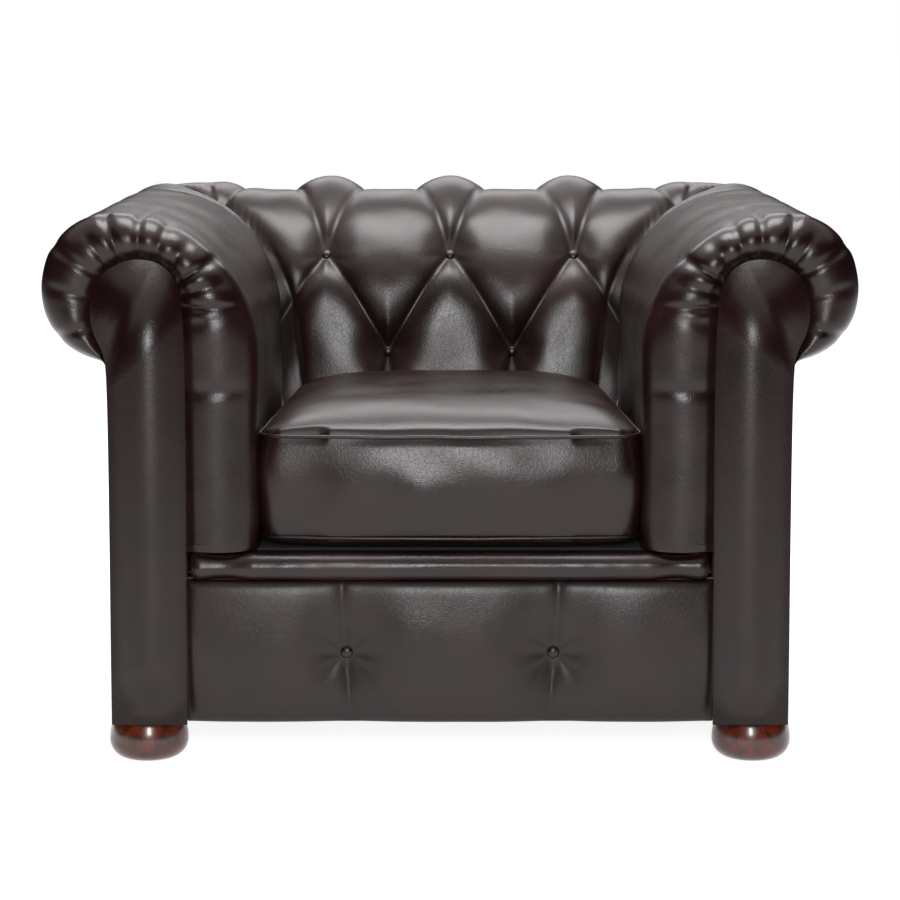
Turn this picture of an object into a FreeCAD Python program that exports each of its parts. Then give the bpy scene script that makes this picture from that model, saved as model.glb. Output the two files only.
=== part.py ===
"""Chesterfield armchair: hardwood frame, springs, padding, leather covers and a loose seat cushion.

Millimetres. +Z is up, the sitter faces -Y, and the origin is on the floor under the chair's middle.
Left is the -X side. The right side is built, and the left is its mirror.
Writes one STEP file for each sub-part to parts/.
"""
import FreeCAD
import Part
import math
import os

from FreeCAD import Vector

os.makedirs("parts", exist_ok=True)

# Overall size
overall_width = 1050.0
overall_depth = 900.0
crest_height = 716.0
base_height = 58.0
clearance = 0.3

# Rolls and walls of the upholstery
roll_radius = 95.0
roll_end_angle = 175.0
cover_thickness = 28.0
pad_thickness = 30.0
back_cover_lift = 0.05
arm_width = 278.0
rear_lean = 7.0
rear_sweep_radius = 200.0
panel_overhang = 7.0
panel_thickness = 7.0

# Deep buttoning
button_spacing = 185.0
upper_row_drop = 88.0
row_drop = 151.0
button_depth = 24.0
pleat_depth = 13.0
puff_reach = 46.0
dimple_radius = 26.0
crest_swell = 11.0
swell_reach = 80.0
pleat_nick = 7.0
corner_turns = (0.15, 0.3, 0.45, 0.6, 0.8, 1.0)
corner_breaks = (-360.0, -290.0, -225.0, -160.0, -90.0, -10.0, 75.0)
button_radius = 8.0
button_rise = 5.0
button_fit = 0.3
shank_radius = 1.6
shank_length = 30.0
shank_fit = 0.5

# Arm fronts
facing_width = 96.0
facing_head_overhang = 19.0
facing_top_drop = 56.0
facing_head_drop = 60.0
facing_neck_drop = 70.0
facing_lift = 2.0
facing_thickness = 25.0
facing_edge_round = 18.0
scroll_board_thickness = 18.0
front_roll_depth = 48.0
front_roll_set_back = 4.0
front_roll_reach = 60.0

# Seat, lip and front border
deck_top = 281.0
deck_cloth_thickness = 2.0
deck_side_gap = 3.0
deck_rear_gap = 5.0
spring_cover_thickness = 1.2
border_rise = 4.0
border_set_back = 7.0
border_round = 14.0
border_button_x = 134.0
border_button_drop = 2.0
border_pleat_depth = 9.0
border_dimple = 13.0
border_dimple_radius = 32.0
border_puff_reach = 60.0
lip_end_gap = 6.0
lip_set_back = 5.0
lip_depth = 36.0

# Seat cushion
cushion_set_back = 30.0
cushion_side_gap = 1.0
cushion_rear_gap = 8.0
cushion_corner_radius = 28.0
bottom_crown = 16.0
boxing_height = 132.0
seam_draw = 4.5
boxing_bulge = 5.0
bottom_inset = 24.0
top_crown = 34.0
crown_reach = 130.0
cover_leather = 2.0
piping_radius = 2.2
piping_fit = 0.05
zip_length = 340.0
zip_width = 8.0
zip_sink = 1.2
zip_proud = 1.2
slider_length = 12.0
slider_width = 9.0
slider_thickness = 2.6
slider_lift = 0.3
pull_length = 22.0
pull_width = 6.0
pull_thickness = 1.2

# Hardwood frame
post_width = 85.0
front_post_depth = 60.0
seat_rail_thickness = 30.0
seat_rail_height = 180.0
arm_rail_width = 46.0
arm_rail_height = 50.0
block_leg_on_end_rail = 60.0
block_leg_on_side_rail = 60.0
block_height = 40.0
block_lift = 112.0
block_screw_bite = 16.0
dowel_radius = 5.0
dowel_length = 50.0
dowel_edge = 42.0
dowel_fit = 0.05
screw_radius = 2.5
screw_shank = 42.0
screw_head_radius = 5.0
screw_head_height = 3.0
screw_fit = 0.05

# Springs and webbing
spring_count = 5
spring_pitch = 100.0
spring_runs = 24
spring_wire_radius = 1.9
spring_half_width = 26.0
clip_width = 14.0
clip_length = 22.0
clip_thickness = 1.5
clip_fit = 0.05
strap_width = 46.0
strap_thickness = 2.0
strap_lap = 40.0
strap_count = 3
strap_pitch = 100.0
back_strap_drop = 26.0
arm_strap_drop = 76.0

# Feet
foot_radius = 51.5
foot_widest = 27.0
foot_top_radius = 44.0
foot_sole_radius = 31.0
foot_inset_x = 34.0
foot_front_inset = 60.0
foot_rear_inset = 44.0
glide_radius = 18.0
glide_thickness = 2.0
bolt_radius = 4.0
bolt_in_foot = 32.0
bolt_in_post = 38.0
tee_nut_radius = 5.5
tee_nut_flange_radius = 11.0
tee_nut_flange = 1.5
tee_nut_length = 14.0
thread_fit = 0.05
dust_cover_thickness = 1.5
dust_cover_inset = 6.0
outside_board_thickness = 3.0

# Places worked out from the sizes above
roll_axis_x = overall_width / 2 - roll_radius
roll_axis_y = overall_depth / 2 - roll_radius
roll_axis_z = crest_height - roll_radius
front_y = -overall_depth / 2
seat_width_front = overall_width - 2 * arm_width
upper_row_height = crest_height - upper_row_drop
lower_row_height = upper_row_height - row_drop
outer_x = roll_axis_x + panel_overhang
outer_y = roll_axis_y + panel_overhang
frame_x = outer_x - panel_thickness
frame_rear_y = outer_y - panel_thickness
board_front_y = front_y + facing_thickness
frame_front_y = board_front_y + scroll_board_thickness
facing_inner_x = outer_x - facing_width
post_inner_x = frame_x - post_width
rail_bottom = roll_axis_z - arm_rail_height / 2
facing_top = crest_height - facing_top_drop
facing_head_height = facing_top - facing_head_drop
facing_neck = facing_head_height - facing_neck_drop
facing_bottom = base_height + facing_lift
front_post_rear = frame_front_y + front_post_depth
rear_post_front = frame_rear_y - post_width
cover_front_y = front_y + front_roll_depth
seat_rail_top = base_height + seat_rail_height
border_top = seat_rail_top + border_rise
border_button_height = (base_height + border_top) / 2 - border_button_drop
dowel_low = base_height + dowel_edge
dowel_high = seat_rail_top - dowel_edge
block_middle = base_height + block_lift
deck_half_width = post_inner_x - deck_side_gap
deck_rear_y = rear_post_front - deck_rear_gap
lip_half_length = facing_inner_x - lip_end_gap
cushion_front_y = front_y + cushion_set_back
seam_low = deck_top + bottom_crown
seam_high = seam_low + boxing_height
foot_front_y = front_y + foot_front_inset
foot_rear_y = frame_rear_y - foot_rear_inset
pad_inner_u = -post_width - strap_thickness - clearance
front_sweep_radius = roll_axis_x - seat_width_front / 2
pad_core_radius = roll_radius - cover_thickness - clearance - pad_thickness
spring_axis_z = seat_rail_top + clip_thickness + clip_fit + spring_wire_radius
clip_top = spring_axis_z + spring_wire_radius + clip_fit + clip_thickness
spring_cover_bottom = spring_axis_z + spring_wire_radius + clearance
deck_pad_bottom = clip_top + clearance
panel_top = roll_axis_z - roll_radius - clearance
foot_top = base_height - dust_cover_thickness
foot_x = frame_x - foot_inset_x
lip_front_y = front_y + lip_set_back
border_front_y = front_y + border_set_back
cushion_bottom = deck_top + clearance


def save(name, *shapes):
    """Writes one node: a single solid, or a group of like solids."""
    solids = [s for shape in shapes for s in shape.Solids]
    assert solids and all(s.isValid() for s in solids), name
    shape = solids[0] if len(solids) == 1 else Part.makeCompound(solids)
    shape.exportStep("parts/" + name + ".step")
    print(f"{name}: {len(solids)} solid(s), {sum(s.Volume for s in solids) / 1e3:.1f} cm3")


def box(x, y, z):
    """Block from three (low, high) pairs."""
    return Part.makeBox(x[1] - x[0], y[1] - y[0], z[1] - z[0], Vector(x[0], y[0], z[0]))


def rod(start, direction, length, radius):
    return Part.makeCylinder(radius, length, start, direction)


def mirrored(shape):
    return shape.mirror(Vector(0, 0, 0), Vector(1, 0, 0))


def both_sides(shapes):
    return shapes + [mirrored(s) for s in shapes]


def save_pair(name, solid):
    """Writes the right-hand piece and its mirror on the left."""
    save(name + "_right", solid)
    save(name + "_left", mirrored(solid))


def line(a, b):
    return Part.LineSegment(a, b).toShape()


def edge_through(a, b, c):
    """Arc from a to c through b, or a line where they are in a row."""
    bow = (b - a).cross(c - a).Length / max((c - a).Length, 1e-6)
    if bow < 0.02:
        return line(a, c)
    return Part.Arc(a, b, c).toShape()


def loft(wires):
    return Part.makeLoft(wires, True, True)


def prism(edges, direction):
    return Part.Face(Part.Wire(edges)).extrude(direction)


def plate(points, z):
    """Upright prism over an outline of (x, y) corners, between two heights."""
    corners = [Vector(x, y, z[0]) for x, y in points]
    return Part.Face(Part.makePolygon(corners + corners[:1])).extrude(Vector(0, 0, z[1] - z[0]))


# Outline of a wall and its roll

class Profile:
    """Section of an arm or of the back, without its buttoning.

    u is outward from the roll's axis and z is up. A place on it is s, the length along the
    outline from the crest: less than 0 down the wall to the seat, more than 0 round the roll.
    """

    def __init__(self, lean, sweep_radius):
        self.lean = math.radians(lean)
        self.sweep = sweep_radius
        self.tangent = -sweep_radius * (math.pi / 2 - self.lean)
        self.end = roll_radius * math.radians(roll_end_angle)
        self.bottom = self.at_height(deck_top)

    def at_height(self, z):
        """s of the wall at height z."""
        rise = (z - (crest_height - self.sweep)) / self.sweep
        if rise > math.sin(self.lean):
            return -self.sweep * math.acos(rise)
        wall_top = crest_height - self.sweep + self.sweep * math.sin(self.lean)
        return self.tangent - (wall_top - z) / math.cos(self.lean)

    def point(self, s, depth=0.0):
        """(u, z) of the outline at s, sunk by depth. The foot stays on the deck."""
        if s >= 0:
            angle, radius = s / roll_radius, roll_radius - depth
            return radius * math.sin(angle), roll_axis_z + radius * math.cos(angle)
        angle = min(-s / self.sweep, math.pi / 2 - self.lean)
        radius = self.sweep - depth
        u, z = -radius * math.sin(angle), crest_height - self.sweep + radius * math.cos(angle)
        past = max(self.tangent - s, 0.0)
        if s < self.bottom + 1e-6:
            past = (z - deck_top) / math.cos(self.lean)
        return u - past * math.sin(self.lean), z - past * math.cos(self.lean)

    def wall_u(self, z):
        return self.point(self.at_height(z))[0]


front_profile = Profile(0.0, front_sweep_radius)
rear_profile = Profile(rear_lean, rear_sweep_radius)
corner_u = rear_profile.point(rear_profile.bottom)[0]


def arm_place(y):
    return lambda u, z: Vector(roll_axis_x + u, y, z)


def back_place(x):
    return lambda u, z: Vector(x, roll_axis_y + u, z)


def mitre(keep_arm):
    """Block that takes a roll's end off along the right-hand corner's mitre."""
    reach = roll_axis_x + roll_axis_y
    low, high = (roll_axis_x - reach, roll_axis_y - reach), (roll_axis_x + reach, roll_axis_y + reach)
    other = (low[0], high[1]) if keep_arm else (high[0], low[1])
    return plate([low, high, other], (0.0, 2 * crest_height))


# Deep buttoning of the inside back, as a depth below the plain outline

def away_from(p, a, b):
    """Distance of p from the pleat a to b, on the flattened leather."""
    span = (b[0] - a[0]) ** 2 + (b[1] - a[1]) ** 2
    t = ((p[0] - a[0]) * (b[0] - a[0]) + (p[1] - a[1]) * (b[1] - a[1])) / span
    t = min(max(t, 0.0), 1.0)
    return math.hypot(p[0] - a[0] - t * (b[0] - a[0]), p[1] - a[1] - t * (b[1] - a[1]))


def puff(distance, reach, depth):
    """Depth beside a pleat: deepest in it, and rounding up to nothing at reach."""
    q = min(distance / reach, 1.0)
    return depth * (1 - math.sqrt(1 - (1 - q) ** 2))


class BackTufts:
    """The back's diamonds: two rows of buttons in front, and one on the rear of the roll."""

    def __init__(self):
        outline = rear_profile
        self.upper = outline.at_height(upper_row_height)
        self.lower = outline.at_height(lower_row_height)
        self.rear = roll_radius * math.pi / 2
        self.half = button_spacing / 2
        even = [k * self.half for k in (-4, -2, 0, 2, 4)]
        odd = [k * self.half for k in (-5, -3, -1, 1, 3, 5)]
        self.pleats = []
        for x in even:
            for side in (-1, 1):
                self.pleats.append(((x, self.upper), (x + side * self.half, self.lower)))
                self.pleats.append(((x, self.upper), (x + side * self.half, self.rear)))
        for x in odd:
            self.pleats.append(((x, self.lower), (x, outline.bottom)))
            self.pleats.append(((x, self.rear), (x, outline.end)))
        self.pulls = [(x, self.upper) for x in even]
        self.pulls += [(x, s) for x in odd for s in (self.lower, self.rear)]
        self.buttons = [(x, s) for x, s in self.pulls
                        if abs(x) < roll_axis_x + outline.point(s)[0] - 0.4 * button_spacing]

    def depth(self, x, s):
        depth = puff(min(away_from((x, s), a, b) for a, b in self.pleats), puff_reach, pleat_depth)
        for b in self.pulls:
            r = math.hypot(x - b[0], s - b[1])
            depth += (button_depth - pleat_depth) * math.exp(-(r / dimple_radius) ** 2)
        fade = min(max((4 * self.half - abs(x)) / self.half, 0.0), 1.0)
        swell = fade * crest_swell * math.cos(math.pi * x / self.half)
        return min(depth, button_depth) - swell * math.exp(-((s - 20) / swell_reach) ** 2)

    def breaks(self, x):
        """Places along the section at x where one puff ends and the next begins."""
        share = abs((x / self.half) % 2.0 - 1.0)
        low = self.lower + share * (self.upper - self.lower) - pleat_nick * share
        high = self.rear + share * (self.upper - self.rear) + pleat_nick * share
        puff_top = [low + (high - low) * k / 3 for k in range(4)]
        past = [high + (self.rear + pleat_nick - high) * k / 3 for k in (1, 2, 3)]
        return [rear_profile.bottom, self.lower - pleat_nick] + puff_top + past + [rear_profile.end]

    def wire(self, x, turn=0.0, side=1):
        """Section of the cover at x, turned part of the way (0 to 1) round to the corner's mitre."""
        def at(u):
            return x + turn * (roll_axis_x + u - x)

        def place(u, z):
            return Vector(side * at(u), roll_axis_y + u, z)
        ends = (rear_profile.bottom, rear_profile.end)
        breaks = [ends[0]] + list(corner_breaks) + [self.rear + pleat_nick, ends[1]] if turn else self.breaks(x)
        return section_wire(rear_profile, breaks, lambda s: self.depth(at(rear_profile.point(s)[0]), s), place)

    def cover(self):
        """The whole cover: plain stations across the middle, and turned ones at the corners."""
        columns = int((roll_axis_x + corner_u) / self.half)
        right = [(k + t) * self.half for k in range(columns) for t in (0, 0.13, 0.5, 0.87)]
        right.append(columns * self.half)
        wires = [self.wire(x) for x in [-x for x in right[:0:-1]] + right]
        for turn in corner_turns:
            wires = [self.wire(right[-1], turn, -1)] + wires + [self.wire(right[-1], turn)]
        return loft(wires)


def turned_arc(place, centre_z, radius, start, end):
    """Arc about the roll's axis line, between two angles from +u: an ellipse's where the section is turned."""
    centre, side, top = place(0.0, centre_z), place(radius, centre_z), place(0.0, centre_z + radius)
    if (side - centre).Length - radius > 1e-6:
        return Part.ArcOfEllipse(Part.Ellipse(side, top, centre), start, end).toShape()
    angles = (start, (start + end) / 2, end)
    return Part.Arc(*[place(radius * math.cos(a), centre_z + radius * math.sin(a)) for a in angles]).toShape()


def section_wire(outline, breaks, depth_of, place):
    """Closed section of a cover: its outside, and its plain inside one cover's thickness below."""
    edges = []
    for a, b in zip(breaks, breaks[1:]):
        edges.append(edge_through(*[place(*outline.point(s, depth_of(s))) for s in (a, (a + b) / 2, b)]))
    last = edges[-1].Vertexes[-1].Point
    p = [place(*outline.point(s, cover_thickness)) for s in (outline.end, outline.tangent, outline.bottom)]
    up, end = math.pi / 2, math.pi / 2 - outline.end / roll_radius
    edges.append(line(last, p[0]))
    edges.append(turned_arc(place, roll_axis_z, roll_radius - cover_thickness, end, up))
    edges.append(turned_arc(place, crest_height - outline.sweep, outline.sweep - cover_thickness,
                            up, math.pi - outline.lean))
    edges += [line(p[1], p[2]), line(p[2], edges[0].Vertexes[0].Point)]
    return Part.Wire(edges)


def plain_cover_wire(outline, place):
    breaks = [outline.bottom, outline.tangent, 0.0, outline.end]
    return section_wire(outline, breaks, lambda s: 0.0, place)


def pad_wire(outline, place):
    """Closed section of the padding under a cover, flat against the webbing."""
    top = cover_thickness + clearance
    inner_radius = outline.sweep - cover_thickness - clearance - pad_thickness
    angle = math.asin(-pad_inner_u / inner_radius)
    meet = (pad_inner_u, crest_height - outline.sweep + inner_radius * math.cos(angle))
    crown = (-inner_radius * math.sin(angle / 2), crest_height - outline.sweep + inner_radius * math.cos(angle / 2))
    turns = (outline.bottom, outline.tangent, outline.tangent / 2, 0, outline.end / 2, outline.end)
    p = [place(*outline.point(s, top)) for s in turns]
    under = cover_thickness + clearance + pad_thickness
    q = [place(*outline.point(s, under)) for s in (outline.end, outline.end / 2, 0)]
    q += [place(*crown), place(*meet), place(pad_inner_u, deck_top)]
    return Part.Wire([
        line(p[0], p[1]), edge_through(*p[1:4]), edge_through(*p[3:6]), line(p[5], q[0]),
        edge_through(*q[0:3]), edge_through(*q[2:5]), line(q[4], q[5]), line(q[5], p[0])])


def rail_wire(place):
    """Closed section of an arm rail or the back's top rail: a square rail with a round outer edge."""
    r = pad_core_radius - clearance
    low, high, side = rail_bottom, rail_bottom + arm_rail_height, -arm_rail_width
    p = [place(*q) for q in ((side, low), (side, high), (0.0, roll_axis_z + r))]
    turn = [place(r * math.sin(a), roll_axis_z + r * math.cos(a)) for a in
            [math.radians(45 * k) for k in range(5)]]
    foot = place(0.0, low)
    return Part.Wire([line(p[0], p[1]), line(p[1], p[2]), edge_through(*turn[0:3]),
                      edge_through(*turn[2:5]), line(turn[4], foot), line(foot, p[0])])


def arm_run(wire_of, start):
    """Solid along the right arm from start to the corner's mitre."""
    far = roll_axis_y + 1.5 * roll_radius
    wires = [wire_of(front_profile, arm_place(start)),
             wire_of(rear_profile, arm_place(roll_axis_y + corner_u - 1)),
             wire_of(rear_profile, arm_place(far))]
    return loft(wires).cut(mitre(True))


def back_run(wires):
    return loft(wires).cut(mitre(False)).cut(mirrored(mitre(False)))


# Buttons

def button(seat, outward, shank=shank_length):
    """Covered button with its shank, its back on seat."""
    rim, crown = Vector(button_radius, 0, button_rise * 0.4), Vector(button_radius * 0.15, 0, button_rise)
    corners = [Vector(0, 0, button_rise), Vector(0, 0, -shank), Vector(shank_radius, 0, -shank),
               Vector(shank_radius, 0, 0), Vector(button_radius, 0, 0), rim]
    edges = [line(a, b) for a, b in zip(corners, corners[1:])]
    edges.append(edge_through(rim, Vector(button_radius * 0.72, 0, button_rise * 0.86), crown))
    edges.append(line(crown, corners[0]))
    body = Part.Face(Part.Wire(edges)).revolve(Vector(0, 0, 0), Vector(0, 0, 1), 360)
    body.Placement = FreeCAD.Placement(seat, FreeCAD.Rotation(Vector(0, 0, 1), outward))
    return body.Solids[0]


def button_pocket(seat, outward, shank=shank_length):
    """What a button needs cut away: a seat for its head, and a hole for its shank."""
    head = rod(seat - outward * button_fit, outward, 60.0, button_radius + button_fit)
    return head.fuse(rod(seat, outward * -1, shank + shank_fit, shank_radius + shank_fit))


# Wood

def dowels():
    """Every dowel on both sides, as (start, direction)."""
    half = dowel_length / 2
    front_rail_y = frame_front_y + seat_rail_thickness / 2
    rear_rail_y = frame_rear_y - seat_rail_thickness / 2
    side_rail_x = frame_x - seat_rail_thickness / 2
    x_way, y_way, up = Vector(1, 0, 0), Vector(0, 1, 0), Vector(0, 0, 1)
    places = []
    for z in (dowel_low, dowel_high):
        places += [(Vector(post_inner_x - half, y, z), x_way) for y in (front_rail_y, rear_rail_y)]
        places += [(Vector(side_rail_x, y - half, z), y_way) for y in (front_post_rear, rear_post_front)]
    arm_dowel_x = frame_x - arm_rail_width / 2
    back_dowel_x = (post_inner_x + frame_x - arm_rail_width) / 2
    for x, y in ((arm_dowel_x, front_post_rear - front_post_depth / 2),
                 (arm_dowel_x, rear_post_front + post_width * 0.3),
                 (back_dowel_x, frame_rear_y - arm_rail_width / 2)):
        places.append((Vector(x, y, rail_bottom - half), up))
    return places


def block_outline(rear):
    """(x, y) corners of a corner block, notched round the post."""
    end_rail_y = frame_rear_y - seat_rail_thickness if rear else frame_front_y + seat_rail_thickness
    post_y = rear_post_front if rear else front_post_rear
    side_x = frame_x - seat_rail_thickness
    far_y = post_y - block_leg_on_side_rail if rear else post_y + block_leg_on_side_rail
    return [(post_inner_x - block_leg_on_end_rail, end_rail_y), (post_inner_x, end_rail_y),
            (post_inner_x, post_y), (side_x, post_y), (side_x, far_y)]


def block_screws(rear):
    """A corner block's two screws, each with its head sunk in the block's long face."""
    corners, way = block_outline(rear), -1 if rear else 1
    (x0, y0), (x1, y1) = corners[0], corners[-1]
    face = (y1 - y0) / (x1 - x0)
    into_end = screw_shank - block_screw_bite
    x = x0 + into_end / abs(face)
    into_side = screw_shank - block_screw_bite
    y = y1 - into_side * face
    z = block_middle
    return [(Vector(x, y0 + way * into_end, z), Vector(0, -way, 0)), (Vector(x1 - into_side, y, z), Vector(1, 0, 0))]


def screws():
    """Every screw on the right, as (seat of the head, direction)."""
    places = block_screws(False) + block_screws(True)
    y_way, sunk_y = Vector(0, 1, 0), board_front_y + screw_head_height
    heights = (dowel_low + screw_shank, (base_height + rail_bottom) / 2, rail_bottom - 1.5 * screw_shank)
    places += [(Vector((post_inner_x + frame_x) / 2, sunk_y, h), y_way) for h in heights]
    places += [(Vector(x, sunk_y, dowel_low), y_way) for x in (0.3 * border_button_x, 2.2 * border_button_x)]
    return places


def screw(seat, way, fit=0.0, relief=0.0):
    """Screw, or with fit and relief the room that it needs."""
    shank = rod(seat, way, screw_shank + fit, screw_radius + fit)
    head = rod(seat, way * -1, screw_head_height + relief, screw_head_radius + fit)
    return shank.fuse(head).removeSplitter().Solids[0]


dowel_rods = both_sides([rod(a, way, dowel_length, dowel_radius) for a, way in dowels()])
dowel_room = Part.makeCompound(both_sides(
    [rod(a - way * 1, way, dowel_length + 2, dowel_radius + dowel_fit) for a, way in dowels()]))
screw_solids = both_sides([screw(seat, way) for seat, way in screws()])
screw_room = Part.makeCompound(both_sides([screw(s, way, screw_fit, 40.0) for s, way in screws()]))


def drilled(shape):
    """Shape with the dowel and screw holes that pass through it."""
    for room in (dowel_room, screw_room):
        for hole in room.Solids:
            if hole.BoundBox.intersect(shape.BoundBox):
                shape = shape.cut(hole)
    return shape


def bolt_room(shape, y):
    """Cuts a post for its foot bolt and tee nut."""
    up = Vector(0, 0, 1)
    base = Vector(foot_x, y, base_height)
    shape = shape.cut(rod(base, up, tee_nut_flange, tee_nut_flange_radius + thread_fit))
    shape = shape.cut(rod(base, up, tee_nut_length, tee_nut_radius + thread_fit))
    return shape.cut(rod(base, up, bolt_in_post + 2, bolt_radius + 0.5))


def scroll_outline(depth, y, to_floor):
    """Edges of the arm's front outline sunk by depth: down to the floor for the board, or only its head."""
    place, outline = arm_place(y), front_profile
    turns = (outline.bottom, outline.tangent, outline.tangent / 2, 0, outline.end / 2, outline.end)
    p = [place(*outline.point(s, depth)) for s in turns]
    edges = [line(p[0], p[1]), edge_through(*p[1:4]), edge_through(*p[3:6])]
    if to_floor:
        end_z = p[5].z
        q = [place(0.0, end_z), place(0.0, base_height), place(-post_width, base_height),
             place(-post_width, deck_top)]
    else:
        inner = min(roll_radius - depth, roll_radius - cover_thickness) - 8
        angle = math.radians(roll_end_angle)
        q = [place(inner * math.sin(angle), roll_axis_z + inner * math.cos(angle)), place(-60.0, deck_top)]
    path = [p[5]] + q + [p[0]]
    return edges + [line(a, b) for a, b in zip(path, path[1:])]


def facing_edges(grow, y):
    """Edges of the arm facing's outline, grown all round."""
    g, inner, outer = grow, facing_inner_x, outer_x
    head_x = outer + facing_head_overhang

    def at(x, z):
        return Vector(x, y, z)
    middle_x = (inner + head_x) / 2 - 8
    top, head = at(middle_x, facing_top + g), at(head_x + g, facing_head_height)
    shoulder, neck = at(inner - g, facing_top - 0.73 * facing_head_drop), at(outer + g, facing_neck)
    return [line(at(inner - g, facing_bottom - g), shoulder),
            edge_through(shoulder, at(inner + 12 - 0.7 * g, facing_top - 11 + 0.7 * g), top),
            edge_through(top, at(head_x - 17 + 0.7 * g, facing_top - 0.3 * facing_head_drop + 0.7 * g), head),
            edge_through(head, at(head_x - 5 + g, facing_neck + 0.44 * facing_neck_drop), neck),
            line(neck, at(outer + g, facing_bottom - g)),
            line(at(outer + g, facing_bottom - g), at(inner - g, facing_bottom - g))]


def arm_front_roll():
    """Rounded front of the arm round its facing, hollow behind where it wraps the scroll board."""
    depth = front_roll_depth - front_roll_set_back
    wires = []
    for k in range(6):
        angle = math.radians(16.0 * k)
        sunk = front_roll_reach * (1 - math.cos(angle))
        wires.append(Part.Wire(scroll_outline(sunk, cover_front_y - depth * math.sin(angle), False)))
    solid = loft(wires)
    board = prism(scroll_outline(cover_thickness, board_front_y, False), Vector(0, 40, 0))
    legs = box((roll_axis_x - 100, roll_axis_x - 20), (board_front_y, board_front_y + 40), (0, deck_top + 200))
    facing = prism(facing_edges(clearance, front_y - 5), Vector(0, facing_thickness + 5, 0))
    return solid.cut(board.fuse(legs)).cut(facing)


def arm_facing():
    solid = prism(facing_edges(0.0, front_y), Vector(0, facing_thickness, 0))
    rim = [e for e in solid.Edges if all(abs(v.Y - front_y) < 1e-6 for v in e.Vertexes)]
    return solid.makeFillet(facing_edge_round, rim)


# Front border and lip

def border_depth(x, z, half_length):
    """Depth of the border below its front plane: two pleats, a dimple at each button, and soft edges."""
    depth = puff(abs(abs(x) - border_button_x), border_puff_reach, border_pleat_depth)
    r = math.hypot(abs(x) - border_button_x, z - border_button_height)
    depth += (border_dimple - border_pleat_depth) * math.exp(-(r / border_dimple_radius) ** 2)
    edge = min(half_length - abs(x), z - base_height, border_top - z)
    return max(depth, puff(edge, border_round, facing_thickness - border_set_back - 6))


def border_cover():
    half = facing_inner_x - clearance
    right = [0, 60, border_button_x - 35, border_button_x - 12, border_button_x, border_button_x + 12,
             border_button_x + 35, (border_button_x + half) / 2, half - border_round, half - 5, half]
    low, high, middle = base_height, border_top, border_button_height
    near, far = 0.5 * border_dimple_radius, 1.25 * border_dimple_radius
    breaks = [low, low + border_round, middle - far, middle - near, middle + near, middle + far,
              high - border_round, high]
    wires = []
    for x in [-x for x in right[:0:-1]] + right:
        def at(z, x=x):
            return Vector(x, border_front_y + border_depth(x, z, half), z)
        edges = [edge_through(at(a), at((a + b) / 2), at(b)) for a, b in zip(breaks, breaks[1:])]
        top, foot = Vector(x, board_front_y, high), Vector(x, board_front_y, low)
        edges += [line(at(high), top), line(top, foot), line(foot, at(low))]
        wires.append(Part.Wire(edges))
    return loft(wires)


def front_lip():
    low, high = border_top + clearance, deck_top
    r = (high - low) / 2
    rear = lip_front_y + lip_depth

    def at(angle):
        a = math.radians(angle)
        return Vector(-lip_half_length, lip_front_y + r - r * math.cos(a), low + r + r * math.sin(a))
    top, foot = Vector(-lip_half_length, rear, high), Vector(-lip_half_length, rear, low)
    edges = [edge_through(at(-90), at(-45), at(0)), edge_through(at(0), at(45), at(90)),
             line(at(90), top), line(top, foot), line(foot, at(-90))]
    return prism(edges, Vector(2 * lip_half_length, 0, 0))


# Springs

spring_front_y = frame_front_y + seat_rail_thickness * 0.6
spring_rear_y = frame_rear_y - seat_rail_thickness * 0.6
spring_bend = (spring_rear_y - spring_front_y) / spring_runs / 2


def spring(x):
    """Sinuous spring: straight runs across, joined by half turns."""
    edges = []
    reach = spring_half_width - spring_bend

    def at(dx, y):
        return Vector(x + dx, y, spring_axis_z)
    for k in range(spring_runs + 1):
        y, side = spring_front_y + 2 * spring_bend * k, 1 if k % 2 == 0 else -1
        edges.append(line(at(-side * reach, y), at(side * reach, y)))
        if k < spring_runs:
            y_turn = y + spring_bend
            edges.append(Part.Arc(at(side * reach, y), at(side * spring_half_width, y_turn),
                                  at(side * reach, y + 2 * spring_bend)).toShape())
    start = edges[0].Vertexes[0].Point
    ring = Part.Wire(Part.makeCircle(spring_wire_radius, start, Vector(1, 0, 0)))
    return Part.Wire(edges).makePipeShell([ring], True, False)


def clip(x, y, way):
    """Folded clip that holds a spring's end on its rail. way is where its mouth opens."""
    def edge(dy, z):
        return Vector(x - clip_width / 2, y + way * dy, z)
    back, mouth = -clip_length / 2, clip_length / 2
    low, high, t = seat_rail_top, clip_top, clip_thickness
    points = [edge(back, low), edge(mouth, low), edge(mouth, low + t), edge(back + t, low + t),
              edge(back + t, high - t), edge(mouth - 4, high - t), edge(mouth - 4, high), edge(back, high)]
    return Part.Face(Part.makePolygon(points + points[:1])).extrude(Vector(clip_width, 0, 0))


# Seat cushion

def rounded(points, radius, z):
    """Closed wire round (x, y) corners, each rounded by an arc."""
    edges, n = [], len(points)
    arcs = []
    for k in range(n):
        p = Vector(points[k][0], points[k][1], z)
        a = (Vector(points[k - 1][0], points[k - 1][1], z) - p).normalize()
        b = (Vector(points[(k + 1) % n][0], points[(k + 1) % n][1], z) - p).normalize()
        half = a.getAngle(b) / 2
        middle = (a + b).normalize()
        arcs.append((p + a * (radius / math.tan(half)), p + middle * (radius / math.sin(half) - radius),
                     p + b * (radius / math.tan(half))))
    for k in range(n):
        edges.append(Part.Arc(*arcs[k]).toShape())
        edges.append(line(arcs[k][2], arcs[(k + 1) % n][0]))
    return Part.Wire(edges)


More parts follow.
